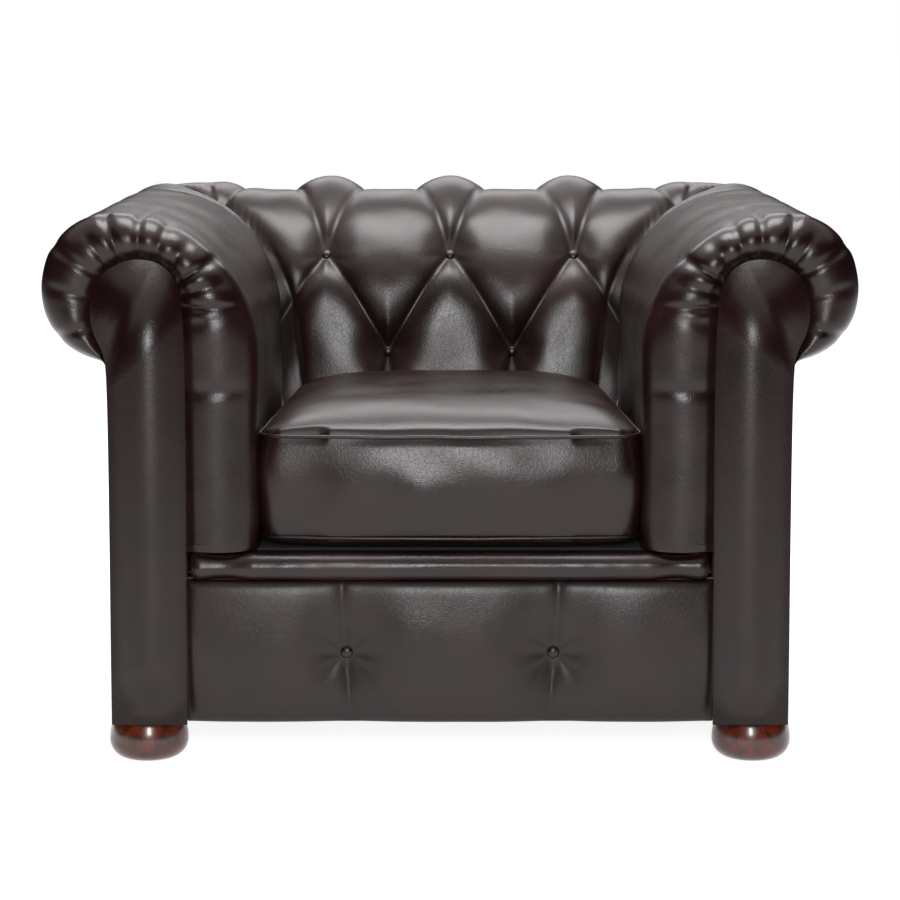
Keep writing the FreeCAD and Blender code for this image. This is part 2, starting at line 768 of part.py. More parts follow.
def cushion_ring(z, inset):
    """Outline of the cushion at height z, inset from the room between the arms and the back."""
    level = min(max(z, deck_top), seam_high)
    u = rear_profile.wall_u(level)
    share = (level - seam_low) / (seam_high - seam_low)
    bulge = max(0.0, boxing_bulge * (1 - (2 * share - 1) ** 2))
    rear = roll_axis_y + u - cushion_rear_gap - inset
    front = cushion_front_y - bulge + inset
    wide, narrow = seat_width_front / 2 - cushion_side_gap - inset, roll_axis_x + u - cushion_side_gap - inset
    run = rear_profile.wall_u(deck_top) + roll_axis_y - cushion_front_y
    slope = (seat_width_front / 2 - (roll_axis_x + u)) / run
    narrow += slope * (cushion_rear_gap + inset)
    wide -= slope * inset
    return rounded([(-wide, front), (wide, front), (narrow, rear), (-narrow, rear)], cushion_corner_radius, z)


def cushion_levels():
    """(height, inset) of the cushion's rings, from the deck up over the crown."""
    levels = [(cushion_bottom, bottom_inset), (cushion_bottom + 5, bottom_inset / 2), (seam_low, seam_draw),
              (seam_low + 12, 0.5), ((seam_low + seam_high) / 2, 0.0), (seam_high - 12, 0.5),
              (seam_high, seam_draw)]
    for k in range(1, 6):
        angle = math.radians(15.0 + 15.0 * k)
        levels.append((seam_high + top_crown * math.sin(angle),
                       seam_draw + crown_reach * (1 - math.cos(angle))))
    return levels


def cushion_solid(skin):
    """The cushion's body, skin mm inside its outer surface."""
    rings = []
    for z, inset in cushion_levels():
        share = (z - cushion_bottom) / (seam_high + top_crown - cushion_bottom)
        rings.append(cushion_ring(z + skin * (1 - 2 * share), inset + skin))
    return loft(rings)


def piping(z, grow=0.0):
    ring = cushion_ring(z, seam_draw - piping_radius + 0.6)
    edge = ring.Edges[1]
    start = edge.Vertexes[0].Point
    way = edge.Vertexes[-1].Point - start
    loop = Part.Wire(Part.__sortEdges__(ring.Edges))
    section = Part.Wire(Part.makeCircle(piping_radius + grow, start, way))
    return loop.makePipeShell([section], True, False)


def zip_frame():
    """Placement of the rear boxing's middle: x along the seat, y out of the cushion, z up the boxing."""
    z = (seam_low + seam_high) / 2
    y = roll_axis_y + rear_profile.wall_u(z) - cushion_rear_gap
    return FreeCAD.Placement(Vector(0, y, z), FreeCAD.Rotation(Vector(1, 0, 0), -rear_lean))


def on_zip(solid):
    solid.Placement = zip_frame()
    return solid


def zip_strip(length, width, sink, proud):
    return box((-length / 2, length / 2), (-sink, proud), (-width / 2, width / 2))


def zip_slider():
    """Slider at the zip's left end, with its pull hanging over the closed zip."""
    x = -zip_length / 2
    low = zip_proud + slider_lift
    body = box((x, x + slider_length), (low, low + slider_thickness), (-slider_width / 2, slider_width / 2))
    pull = box((x + 3, x + 3 + pull_width), (low + slider_thickness, low + slider_thickness + pull_thickness),
               (-pull_length, 3.0))
    return body.fuse(pull).removeSplitter().Solids[0]


# Feet

def foot(y):
    sole, top = glide_thickness, foot_top
    a, b, c = Vector(foot_sole_radius, 0, sole), Vector(foot_radius, 0, foot_widest), Vector(foot_top_radius, 0, top)
    low = Vector(foot_sole_radius + 0.72 * (foot_radius - foot_sole_radius), 0, sole + 0.32 * (foot_widest - sole))
    high = Vector(foot_radius - 0.26 * (foot_radius - foot_top_radius), 0, foot_widest + 0.52 * (top - foot_widest))
    edges = [line(Vector(0, 0, sole), a), edge_through(a, low, b), edge_through(b, high, c),
             line(c, Vector(0, 0, top)), line(Vector(0, 0, top), Vector(0, 0, sole))]
    bun = Part.Face(Part.Wire(edges)).revolve(Vector(0, 0, 0), Vector(0, 0, 1), 360)
    bun.translate(Vector(foot_x, y, 0))
    return bun.Solids[0].cut(rod(Vector(foot_x, y, foot_top - bolt_in_foot), Vector(0, 0, 1), 60.0,
                                 bolt_radius + thread_fit))


def foot_bolt(y):
    return rod(Vector(foot_x, y, foot_top - bolt_in_foot), Vector(0, 0, 1),
               bolt_in_foot + dust_cover_thickness + bolt_in_post, bolt_radius)


def tee_nut(y):
    base, up = Vector(foot_x, y, base_height), Vector(0, 0, 1)
    nut = rod(base, up, tee_nut_flange, tee_nut_flange_radius).fuse(rod(base, up, tee_nut_length, tee_nut_radius))
    return nut.cut(rod(base - up, up, tee_nut_length + 2, bolt_radius + thread_fit)).removeSplitter().Solids[0]


def write_frame():
    """Wooden frame, its joints and its fasteners."""
    height = (base_height, seat_rail_top)
    between = (-post_inner_x, post_inner_x)
    front_rail = box(between, (frame_front_y, frame_front_y + seat_rail_thickness), height)
    rear_rail = box(between, (frame_rear_y - seat_rail_thickness, frame_rear_y), height)
    side_rail = box((frame_x - seat_rail_thickness, frame_x), (front_post_rear, rear_post_front), height)
    front_post = box((post_inner_x, frame_x), (frame_front_y, front_post_rear), (base_height, rail_bottom))
    rear_post = box((post_inner_x, frame_x), (rear_post_front, frame_rear_y), (base_height, rail_bottom))
    save("front_seat_rail", drilled(front_rail))
    save("rear_seat_rail", drilled(rear_rail))
    save_pair("side_seat_rail", drilled(side_rail))
    save_pair("front_post", bolt_room(drilled(front_post), foot_front_y))
    save_pair("rear_post", bolt_room(drilled(rear_post), foot_rear_y))
    far = roll_axis_y + roll_radius
    arm_rail = loft([rail_wire(arm_place(y)) for y in (frame_front_y, far)]).cut(mitre(True))
    save_pair("arm_top_rail", drilled(arm_rail))
    far = roll_axis_x + roll_radius
    save("back_top_rail", drilled(back_run([rail_wire(back_place(x)) for x in (-far, far)])))
    blocks = [drilled(plate(block_outline(rear), (block_middle - block_height / 2, block_middle + block_height / 2)))
              for rear in (False, True)]
    save("corner_blocks", *both_sides(blocks))
    board = prism(scroll_outline(cover_thickness + clearance, board_front_y, True),
                  Vector(0, scroll_board_thickness, 0))
    save_pair("arm_scroll_board", drilled(board))
    save("frame_dowels", *dowel_rods)
    save("frame_screws", *screw_solids)


def write_seat():
    """Springs, deck, front border and lip."""
    middle = (spring_count - 1) / 2
    spring_xs = [(k - middle) * spring_pitch for k in range(spring_count)]
    save("seat_springs", *[spring(x) for x in spring_xs])
    save("spring_clips", *[clip(x, spring_front_y, 1) for x in spring_xs],
         *[clip(x, spring_rear_y, -1) for x in spring_xs])
    across = (-deck_half_width, deck_half_width)
    hessian_y = (spring_front_y + clip_length / 2 + 1, deck_rear_y)
    save("spring_cover", box(across, hessian_y, (spring_cover_bottom, spring_cover_bottom + spring_cover_thickness)))
    deck_y = (lip_front_y + lip_depth + clearance, deck_rear_y)
    pad_top = deck_top - deck_cloth_thickness
    save("deck_pad", box(across, deck_y, (deck_pad_bottom, pad_top)))
    save("deck_cloth", box(across, deck_y, (pad_top, deck_top)))
    save("front_lip", front_lip())
    outward = Vector(0, -1, 0)
    seats = [Vector(side * border_button_x, border_front_y + border_dimple, border_button_height)
             for side in (-1, 1)]
    shank = board_front_y + scroll_board_thickness * 0.7 - seats[0].y
    board = box((-post_inner_x, post_inner_x), (board_front_y, frame_front_y), (base_height, border_top))
    cover = border_cover()
    for seat in seats:
        board = board.cut(button_pocket(seat, outward, shank))
        cover = cover.cut(button_pocket(seat, outward, shank))
    save("border_board", drilled(board))
    save("border_cover", cover)
    save("border_buttons", *[button(seat, outward, shank) for seat in seats])


def strap_heights(drop):
    return [rail_bottom - drop - k * strap_pitch for k in range(strap_count)]


def write_webbing():
    """Straps inside the arms and the back."""
    lap_y = (front_post_rear - strap_lap, rear_post_front + strap_lap)
    straps = [box((post_inner_x - strap_thickness, post_inner_x), lap_y, (z - strap_width / 2, z + strap_width / 2))
              for z in strap_heights(arm_strap_drop)]
    save("arm_webbing_right", *straps)
    save("arm_webbing_left", *[mirrored(s) for s in straps])
    lap_x = (-post_inner_x - strap_lap, post_inner_x + strap_lap)
    save("back_webbing", *[box(lap_x, (rear_post_front - strap_thickness, rear_post_front),
                               (z - strap_width / 2, z + strap_width / 2)) for z in strap_heights(back_strap_drop)])


def write_upholstery():
    """Pads, covers, buttons and panels."""
    tufts = BackTufts()
    seats = []
    for x, s in tufts.buttons:
        seat = Vector(x, *[a + b for a, b in zip((roll_axis_y, 0), rear_profile.point(s, tufts.depth(x, s)))])
        out = Vector(x, *[a + b for a, b in zip((roll_axis_y, 0), rear_profile.point(s))]) - seat
        seats.append((seat, out.normalize()))
    far = roll_axis_x + roll_radius + 20
    pad = back_run([pad_wire(rear_profile, back_place(x)) for x in (-far, far)])
    cover = tufts.cover()
    for seat, out in seats:
        cover = cover.cut(button_pocket(seat, out))
        pad = pad.cut(button_pocket(seat, out))
    cover.translate(Vector(0, 0, back_cover_lift))
    save("inside_back_cover", cover)
    save("back_pad", pad)
    save("back_buttons", *[button(seat, out) for seat, out in seats])
    save_pair("inside_arm_cover", arm_run(plain_cover_wire, cover_front_y))
    save_pair("arm_pad", arm_run(pad_wire, cover_front_y))
    save_pair("arm_front_roll", arm_front_roll())
    save_pair("arm_facing", arm_facing())
    height = (base_height, panel_top)
    board_x, board_y = frame_x + outside_board_thickness, frame_rear_y + outside_board_thickness
    save_pair("outside_arm_board", box((frame_x, board_x), (board_front_y, board_y), height))
    save_pair("outside_arm_cover", box((board_x, outer_x), (board_front_y, outer_y), height))
    save("outside_back_board", box((-frame_x, frame_x), (frame_rear_y, board_y), height))
    save("outside_back_cover", box((-board_x, board_x), (board_y, outer_y), height))


def write_cushion():
    """Loose seat cushion with its piping and zip."""
    shell = cushion_solid(0.0).cut(cushion_solid(cover_leather))
    welts = [piping(z) for z in (seam_low, seam_high)]
    for z in (seam_low, seam_high):
        shell = shell.cut(piping(z, piping_fit))
    groove = zip_strip(zip_length + 1, zip_width + 0.6, zip_sink + clearance / 2, 20.0)
    shell = shell.cut(on_zip(groove))
    save("cushion_cover", shell)
    save("cushion_core", cushion_solid(cover_leather + clearance))
    save("cushion_piping", *welts)
    save("cushion_zip", on_zip(zip_strip(zip_length, zip_width, zip_sink, zip_proud)))
    save("zip_slider", on_zip(zip_slider()))


def write_feet():
    """Feet with their bolts, tee nuts and glides, and the dust cover they stand through."""
    for name, y in (("front", foot_front_y), ("rear", foot_rear_y)):
        solid = foot(y)
        save("foot_" + name + "_right", solid)
        save("foot_" + name + "_left", mirrored(solid))
    ys = (foot_front_y, foot_rear_y)
    save("foot_bolts", *both_sides([foot_bolt(y) for y in ys]))
    save("tee_nuts", *both_sides([tee_nut(y) for y in ys]))
    save("foot_glides", *both_sides([rod(Vector(foot_x, y, 0), Vector(0, 0, 1), glide_thickness, glide_radius)
                                     for y in ys]))
    inset = dust_cover_inset
    sheet = box((inset - frame_x, frame_x - inset), (frame_front_y + inset, frame_rear_y - inset),
                (foot_top, base_height))
    for hole in both_sides([rod(Vector(foot_x, y, 0), Vector(0, 0, 1), 100.0, bolt_radius + 0.5) for y in ys]):
        sheet = sheet.cut(hole)
    save("dust_cover", sheet)


write_frame()
write_seat()
write_webbing()
write_upholstery()
write_cushion()
write_feet()
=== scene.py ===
# %% [markdown]
# A buttoned leather armchair, dressed around its construction model.
# The model brings the frame, springs and fixings at their real sizes. This script adds what a
# photographer would see: the leather, its folds, the loose cushion, the light and the camera.
# Everything is in metres, +Z is up and the sitter faces -Y.

# %% Load the construction model
import math

import bmesh
import bpy
from mathutils import Matrix, Vector, noise


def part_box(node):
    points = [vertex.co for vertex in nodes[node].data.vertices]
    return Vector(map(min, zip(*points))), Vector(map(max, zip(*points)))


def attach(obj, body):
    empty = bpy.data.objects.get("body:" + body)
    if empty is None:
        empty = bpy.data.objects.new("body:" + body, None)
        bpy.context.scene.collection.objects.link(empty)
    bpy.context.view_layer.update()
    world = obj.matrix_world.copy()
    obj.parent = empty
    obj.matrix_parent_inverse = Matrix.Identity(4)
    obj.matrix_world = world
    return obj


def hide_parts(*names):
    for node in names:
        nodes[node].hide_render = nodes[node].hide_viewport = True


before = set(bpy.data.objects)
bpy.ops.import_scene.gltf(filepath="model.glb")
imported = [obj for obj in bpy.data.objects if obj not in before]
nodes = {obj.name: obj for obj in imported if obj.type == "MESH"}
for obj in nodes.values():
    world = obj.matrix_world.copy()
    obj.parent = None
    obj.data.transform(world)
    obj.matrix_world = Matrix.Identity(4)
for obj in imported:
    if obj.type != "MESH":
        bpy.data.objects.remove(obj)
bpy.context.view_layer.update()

# %% [markdown]
# A few small jobs come back in every step: putting an object into the scene, turning an edited mesh
# into a finished one, and making sure that a surface's faces look outward.

# %% Small helpers
def placed(name, data):
    """An object in the scene that holds a mesh, a curve, a lamp or a camera."""
    made = bpy.data.objects.new(name, data)
    bpy.context.scene.collection.objects.link(made)
    return made


def mesh_of(name, bm):
    mesh = bpy.data.meshes.new(name)
    bm.to_mesh(mesh)
    bm.free()
    return mesh


def bmesh_of(mesh):
    bm = bmesh.new()
    bm.from_mesh(mesh)
    return bm


def facing(bm, way):
    """Turns the faces round if, taken together, they look away from way."""
    bm.normal_update()
    if sum((f.normal for f in bm.faces), Vector()).dot(way) < 0:
        bmesh.ops.reverse_faces(bm, faces=bm.faces)


def rounded_by(made, levels):
    smooth = made.modifiers.new("round", "SUBSURF")
    smooth.levels = smooth.render_levels = levels


def between(value, low=0.0, high=1.0):
    return min(max(value, low), high)


FRONT = Vector((0, -1, 0))
UP = Vector((0, 0, 1))

# %% [markdown]
# Leather is followed along a section, the way an upholsterer measures it with a tape. A place on
# the section is s: the length from the crest, negative down the inside wall and positive round the
# roll. The arms and the back have the same kind of section, with their own sweep and lean.

# %% Sections of the arms and of the back
CREST = 0.716
ROLL = 0.095
ROLL_X = 0.430
ROLL_Y = 0.355
ROLL_Z = CREST - ROLL
ROLL_END = ROLL * math.radians(175)
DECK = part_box("deck_cloth")[1].z


class Section:
    """Outline of a wall and its roll: u is outward from the roll's axis, z is up."""

    def __init__(self, sweep, lean):
        self.sweep = sweep
        self.lean = math.radians(lean)
        self.tangent = -sweep * (math.pi / 2 - self.lean)
        self.bottom = self.at_height(DECK)

    def at_height(self, z):
        rise = (z - (CREST - self.sweep)) / self.sweep
        if rise > math.sin(self.lean):
            return -self.sweep * math.acos(rise)
        wall_top = CREST - self.sweep + self.sweep * math.sin(self.lean)
        return self.tangent - (wall_top - z) / math.cos(self.lean)

    def point(self, s, depth=0.0):
        if s >= 0:
            angle, radius = s / ROLL, ROLL - depth
            return radius * math.sin(angle), ROLL_Z + radius * math.cos(angle)
        angle = min(-s / self.sweep, math.pi / 2 - self.lean)
        radius = self.sweep - depth
        past = max(self.tangent - s, 0.0)
        u = -radius * math.sin(angle) - past * math.sin(self.lean)
        return u, CREST - self.sweep + radius * math.cos(angle) - past * math.cos(self.lean)


ARM = Section(0.183, 0.0)
BACK = Section(0.200, 7.0)
for label, section in (("arm", ARM), ("back", BACK)):
    print("length of leather,", label, round(ROLL_END - section.bottom, 3))

# %% [markdown]
# A pleat is a line where the leather is pulled down, and beside it the stuffing rounds up again.
# One function gives that shape for any distance from the line, so buttons, seams and folds all
# look as if the same hands made them.

# %% Pleats
def beside(p, a, b):
    """(distance of p from the line a to b, how far along the line it is)."""
    span = (b[0] - a[0]) ** 2 + (b[1] - a[1]) ** 2
    along = ((p[0] - a[0]) * (b[0] - a[0]) + (p[1] - a[1]) * (b[1] - a[1])) / span
    t = between(along)
    return math.hypot(p[0] - a[0] - t * (b[0] - a[0]), p[1] - a[1] - t * (b[1] - a[1])), t


def tuck(distance, reach, depth):
    """Depth beside a pleat: deepest in it, rounding up to nothing at reach."""
    q = min(abs(distance) / reach, 1.0)
    return depth * (1 - math.sqrt(1 - (1 - q) ** 2))


def fold(p, crease):
    """Depth at p of a crease that fades towards its far end: (start, end, reach, depth)."""
    start, end, reach, depth = crease
    distance, along = beside(p, start, end)
    return tuck(distance, reach, depth * (1 - along ** 3))


def ripple(p, size, height):
    """Slow unevenness of stuffing under leather."""
    return height * noise.noise(Vector(p) / size)


# %% [markdown]
# Materials come next, because each piece is given its finish when it is made. Effects that several
# materials share are node groups: a leather hide, wood grain, woven cloth and a fine speckle.
# Each group works out a colour, a roughness and a surface normal, and the shader itself stays in
# the material.

# %% A small kit for node groups
def socket(group, name, way, kind, value=None):
    made = group.interface.new_socket(name=name, in_out=way, socket_type=kind)
    if value is not None:
        made.default_value = value
    return made


OUTPUTS = {"Colour": "NodeSocketColor", "Roughness": "NodeSocketFloat", "Normal": "NodeSocketVector"}


def start_group(name, inputs, outputs=tuple(OUTPUTS)):
    """A group with its inputs, and the outputs Colour, Roughness and Normal or some of them."""
    group = bpy.data.node_groups.new(name, "ShaderNodeTree")
    for label, value in inputs:
        kind = "NodeSocketColor" if isinstance(value, tuple) else "NodeSocketFloat"
        socket(group, label, "INPUT", kind, value)
    for label in outputs:
        socket(group, label, "OUTPUT", OUTPUTS[label])
    return group, group.nodes.new("NodeGroupInput"), group.nodes.new("NodeGroupOutput")


def add(group, kind, **settings):
    """A node with its settings, where a key that names an input sets that input's value."""
    node = group.nodes.new(kind)
    for key, value in settings.items():
        if hasattr(node, key):
            setattr(node, key, value)
        else:
            node.inputs[key.replace("_", " ")].default_value = value
    return node


def summed(group, first, second, operation="ADD"):
    """Math node on a socket and a number, or on two sockets."""
    node = add(group, "ShaderNodeMath", operation=operation)
    group.links.new(first, node.inputs[0])
    if isinstance(second, float):
        node.inputs[1].default_value = second
    else:
        group.links.new(second, node.inputs[1])
    return node.outputs[0]


def scaled(group, value, scale):
    return summed(group, value, scale, "MULTIPLY")


def ranged(group, value, **limits):
    """A socket's value, spread over other limits and kept inside them."""
    node = add(group, "ShaderNodeMapRange", **limits)
    group.links.new(value, node.inputs["Value"])
    return node.outputs[0]


def mixed(group, share, first, second):
    """Colour mix of two sockets by a mask."""
    node = add(group, "ShaderNodeMix", data_type="RGBA")
    group.links.new(share, node.inputs["Factor"])
    for place, value in ((6, first), (7, second)):
        if isinstance(value, tuple):
            node.inputs[place].default_value = value
        else:
            group.links.new(value, node.inputs[place])
    return node.outputs[2]


def bumped(group, height, strength, distance, under=None):
    node = add(group, "ShaderNodeBump", Strength=strength, Distance=distance)
    group.links.new(height, node.inputs["Height"])
    if under is not None:
        group.links.new(under, node.inputs["Normal"])
    return node.outputs["Normal"]


# %% [markdown]
# A hide is never one colour. It has cloudy mottling from the dye, pores about a millimetre apart
# and fine creases where it has been sat on. Its folds get painted shade: the pieces carry a crease
# value on their vertices, which the material reads as an attribute and darkens the colour by.

# %% Leather hide
def hide_group():
    group, given, out = start_group("leather_hide", [
        ("Dye", (0.0085, 0.0022, 0.0021, 1)), ("Rubbed", (0.016, 0.0048, 0.0044, 1)),
        ("Grain", 620.0), ("Gloss", 0.31)])
    link = group.links.new
    where = add(group, "ShaderNodeTexCoord").outputs["Object"]
    cloud = add(group, "ShaderNodeTexNoise", Scale=11.0, Detail=5.0, Roughness=0.6)
    pores = add(group, "ShaderNodeTexVoronoi", feature="F1")
    veins = add(group, "ShaderNodeTexNoise", Scale=85.0, Detail=6.0, Roughness=0.65, Distortion=1.2)
    cracks = add(group, "ShaderNodeTexVoronoi", feature="DISTANCE_TO_EDGE", Scale=120.0)
    swirl = add(group, "ShaderNodeTexNoise", Scale=40.0, Detail=3.0)
    bend = add(group, "ShaderNodeVectorMath", operation="MULTIPLY_ADD")
    bend.inputs[1].default_value = (0.012, 0.012, 0.012)
    crease = add(group, "ShaderNodeAttribute", attribute_name="crease")
    for node in (cloud, pores, veins, swirl):
        link(where, node.inputs["Vector"])
    link(given.outputs["Grain"], pores.inputs["Scale"])
    link(swirl.outputs["Color"], bend.inputs[0])
    link(where, bend.inputs[2])
    link(bend.outputs[0], cracks.inputs["Vector"])
    rubbed = ranged(group, cloud.outputs["Fac"], From_Min=0.42, From_Max=0.72)
    colour = mixed(group, rubbed, given.outputs["Dye"], given.outputs["Rubbed"])
    # painted shade: the colour is darkened towards near-black where the crease value is high, in
    # folds, pleats, dimples and seams
    painted_fold_shade = ranged(group, crease.outputs["Fac"], From_Min=0.25, From_Max=1.0, To_Max=0.7)
    colour = mixed(group, painted_fold_shade, colour, (0.006, 0.003, 0.003, 1))
    link(colour, out.inputs["Colour"])
    uneven = scaled(group, cloud.outputs["Fac"], 0.22)
    rough = summed(group, uneven, given.outputs["Gloss"])
    rough = summed(group, rough, scaled(group, crease.outputs["Fac"], 0.12))
    link(summed(group, rough, -0.11), out.inputs["Roughness"])
    lines = ranged(group, cracks.outputs["Distance"], From_Max=0.06)
    normal = bumped(group, veins.outputs["Fac"], 0.16, 0.0010)
    normal = bumped(group, lines, 0.12, 0.0004, normal)
    normal = bumped(group, pores.outputs["Distance"], 0.18, 0.0004, normal)
    link(normal, out.inputs["Normal"])
    return group


# %% [markdown]
# Wood shows long streaks along its grain. The streaks are noise that is stretched along one
# direction of the piece, with finer and darker pores inside them. The dark feet use the same group
# with their own colours and a tighter grain.

# %% Wood grain
def grain_group():
    group, given, out = start_group("wood_grain", [
        ("Light", (0.5, 0.33, 0.19, 1)), ("Dark", (0.3, 0.17, 0.09, 1)),
        ("Gloss", 0.5), ("Figure", 26.0)])
    link = group.links.new
    where = add(group, "ShaderNodeTexCoord").outputs["Object"]
    along = add(group, "ShaderNodeMapping")
    along.inputs["Rotation"].default_value = (0.05, 0.09, 0.04)
    along.inputs["Scale"].default_value = (1.0, 0.16, 1.0)
    link(where, along.inputs["Vector"])
    streak = add(group, "ShaderNodeTexNoise", Detail=6.0, Roughness=0.62, Distortion=0.7)
    pore = add(group, "ShaderNodeTexNoise", Scale=330.0, Detail=2.0)
    link(given.outputs["Figure"], streak.inputs["Scale"])
    for node in (streak, pore):
        link(along.outputs[0], node.inputs["Vector"])
    share = ranged(group, streak.outputs["Fac"], From_Min=0.38, From_Max=0.64)
    colour = mixed(group, share, given.outputs["Light"], given.outputs["Dark"])
    open_pore = ranged(group, pore.outputs["Fac"], From_Min=0.58, From_Max=0.7, To_Max=0.6)
    link(mixed(group, open_pore, colour, given.outputs["Dark"]), out.inputs["Colour"])
    link(summed(group, given.outputs["Gloss"], scaled(group, streak.outputs["Fac"], 0.12)),
         out.inputs["Roughness"])
    normal = bumped(group, streak.outputs["Fac"], 0.15, 0.0008)
    link(bumped(group, pore.outputs["Fac"], 0.2, 0.0003, normal), out.inputs["Normal"])
    return group


# %% [markdown]
# Cloth is two sets of threads. Two crossed wave patterns give the weave, and a noise makes the
# threads uneven. Hessian is coarse, the dust cover is fine.

# %% Woven cloth
def weave_group():
    group, given, out = start_group("woven_cloth", [
        ("Thread", (0.4, 0.3, 0.18, 1)), ("Gap", (0.16, 0.11, 0.06, 1)), ("Count", 260.0)],
        ("Colour", "Normal"))
    link = group.links.new
    where = add(group, "ShaderNodeTexCoord").outputs["Object"]
    slub = add(group, "ShaderNodeTexNoise", Scale=45.0, Detail=3.0)
    link(where, slub.inputs["Vector"])
    waves = []
    for direction in ("X", "Y", "Z"):
        wave = add(group, "ShaderNodeTexWave", bands_direction=direction, Distortion=1.1)
        wave.inputs["Detail Scale"].default_value = 0.4
        link(where, wave.inputs["Vector"])
        link(given.outputs["Count"], wave.inputs["Scale"])
        waves.append(wave.outputs["Fac"])
    height = summed(group, summed(group, waves[0], waves[1], "MULTIPLY"), waves[2])
    height = scaled(group, height, 0.5)
    colour = mixed(group, height, given.outputs["Gap"], given.outputs["Thread"])
    link(mixed(group, scaled(group, slub.outputs["Fac"], 0.5), colour, given.outputs["Gap"]),
         out.inputs["Colour"])
    link(bumped(group, height, 0.5, 0.0006), out.inputs["Normal"])
    return group


# %% [markdown]
# The plain finishes, such as steel, foam, wadding, board and plastic, differ in colour and gloss
# but share one fine speckle, which keeps them from being a flat colour.

# %% Fine speckle
def speckle_group():
    group, given, out = start_group("fine_speckle", [
        ("Base", (0.5, 0.5, 0.5, 1)), ("Fleck", (0.3, 0.3, 0.3, 1)),
        ("Size", 400.0), ("Gloss", 0.4)])
    link = group.links.new
    where = add(group, "ShaderNodeTexCoord").outputs["Object"]
    fine = add(group, "ShaderNodeTexNoise", Detail=4.0, Roughness=0.7)
    broad = add(group, "ShaderNodeTexNoise", Scale=14.0, Detail=3.0)
    link(where, fine.inputs["Vector"])
    link(where, broad.inputs["Vector"])
    link(given.outputs["Size"], fine.inputs["Scale"])
    small = scaled(group, fine.outputs["Fac"], 0.6)
    both = summed(group, small, scaled(group, broad.outputs["Fac"], 0.4))
    share = ranged(group, both, From_Min=0.42, From_Max=0.62)
    colour = mixed(group, share, given.outputs["Base"], given.outputs["Fleck"])
    link(colour, out.inputs["Colour"])
    link(summed(group, given.outputs["Gloss"], scaled(group, both, 0.2)), out.inputs["Roughness"])
    link(bumped(group, fine.outputs["Fac"], 0.3, 0.0005), out.inputs["Normal"])
    return group


GROUPS = {"leather_hide": hide_group(), "wood_grain": grain_group(),
          "woven_cloth": weave_group(), "fine_speckle": speckle_group()}
print("node groups:", sorted(GROUPS))

# %% [markdown]
# Each finish is a shader with one of the groups in front of it. Numbers that are the same all over
# a surface, such as the metal of a spring, are set on the shader itself.

# %% Finishes
def plain(name, **shader):
    """A material and its Principled shader, with the shader's own numbers and colours."""
    material = bpy.data.materials.new(name)
    material.use_nodes = True
    surface = material.node_tree.nodes["Principled BSDF"]
    for key, value in shader.items():
        surface.inputs[key.replace("_", " ")].default_value = value
    return material, surface


def finish_of(name, group, given, **shader):
    """A material whose shader is fed by a node group with its own values."""
    material, surface = plain(name, **shader)
    tree = material.node_tree
    effect = tree.nodes.new("ShaderNodeGroup")
    effect.node_tree = GROUPS[group]
    for key, value in given.items():
        effect.inputs[key].default_value = value
    for output in effect.outputs:
        label = "Base Color" if output.name == "Colour" else output.name
        tree.links.new(output, surface.inputs[label])
    return material


DRY_CLOTH = 0.9


FINISHES = {
    "leather_brown": finish_of("dark_brown_hide", "leather_hide", {}, Specular_IOR_Level=0.34),
    "foot_wood": finish_of("dark_red_turned_wood", "wood_grain", {
        "Light": (0.12, 0.016, 0.003, 1), "Dark": (0.014, 0.003, 0.0015, 1),
        "Gloss": 0.22, "Figure": 60.0}, Coat_Weight=0.35, Coat_Roughness=0.12),
    "frame_wood": finish_of("beech_frame", "wood_grain", {}),
    "board_wood": finish_of("birch_board", "wood_grain", {
        "Light": (0.62, 0.45, 0.28, 1), "Dark": (0.45, 0.3, 0.17, 1), "Figure": 15.0}),
    "lining_board": finish_of("grey_lining_board", "fine_speckle", {
        "Base": (0.33, 0.27, 0.2, 1), "Fleck": (0.24, 0.19, 0.14, 1), "Gloss": 0.8}),
    "steel": finish_of("spring_steel", "fine_speckle", {
        "Base": (0.36, 0.36, 0.37, 1), "Fleck": (0.22, 0.22, 0.23, 1),
        "Gloss": 0.28}, Metallic=1.0),
    "zip_metal": finish_of("zip_brass", "fine_speckle", {
        "Base": (0.55, 0.38, 0.14, 1), "Fleck": (0.38, 0.25, 0.09, 1),
        "Gloss": 0.25, "Size": 900.0}, Metallic=1.0),
    "hessian": finish_of("hessian_cloth", "woven_cloth", {}, Roughness=DRY_CLOTH),
    "webbing": finish_of("jute_webbing", "woven_cloth", {
        "Thread": (0.34, 0.24, 0.13, 1), "Gap": (0.07, 0.04, 0.03, 1), "Count": 170.0},
        Roughness=DRY_CLOTH),
    "wadding": finish_of("cotton_wadding", "fine_speckle", {
        "Base": (0.72, 0.69, 0.62, 1), "Fleck": (0.58, 0.54, 0.47, 1),
        "Size": 160.0, "Gloss": 0.85}),
    "foam": finish_of("seat_foam", "fine_speckle", {
        "Base": (0.75, 0.66, 0.4, 1), "Fleck": (0.6, 0.5, 0.27, 1), "Size": 500.0, "Gloss": 0.85}),
    "black_cloth": finish_of("black_lining_cloth", "woven_cloth", {
        "Thread": (0.03, 0.03, 0.032, 1), "Gap": (0.01, 0.01, 0.011, 1), "Count": 420.0},
        Roughness=DRY_CLOTH),
    "glide_plastic": finish_of("glide_plastic", "fine_speckle", {
        "Base": (0.05, 0.05, 0.05, 1), "Fleck": (0.03, 0.03, 0.03, 1), "Gloss": 0.4}),
}
print("finishes:", len(FINISHES))

# %% [markdown]
# Every piece is started as a bmesh and finished the same way: its faces are smoothed, it gets its
# finish, it rides on a body of the model, and it stands for the plain solids that it replaces.

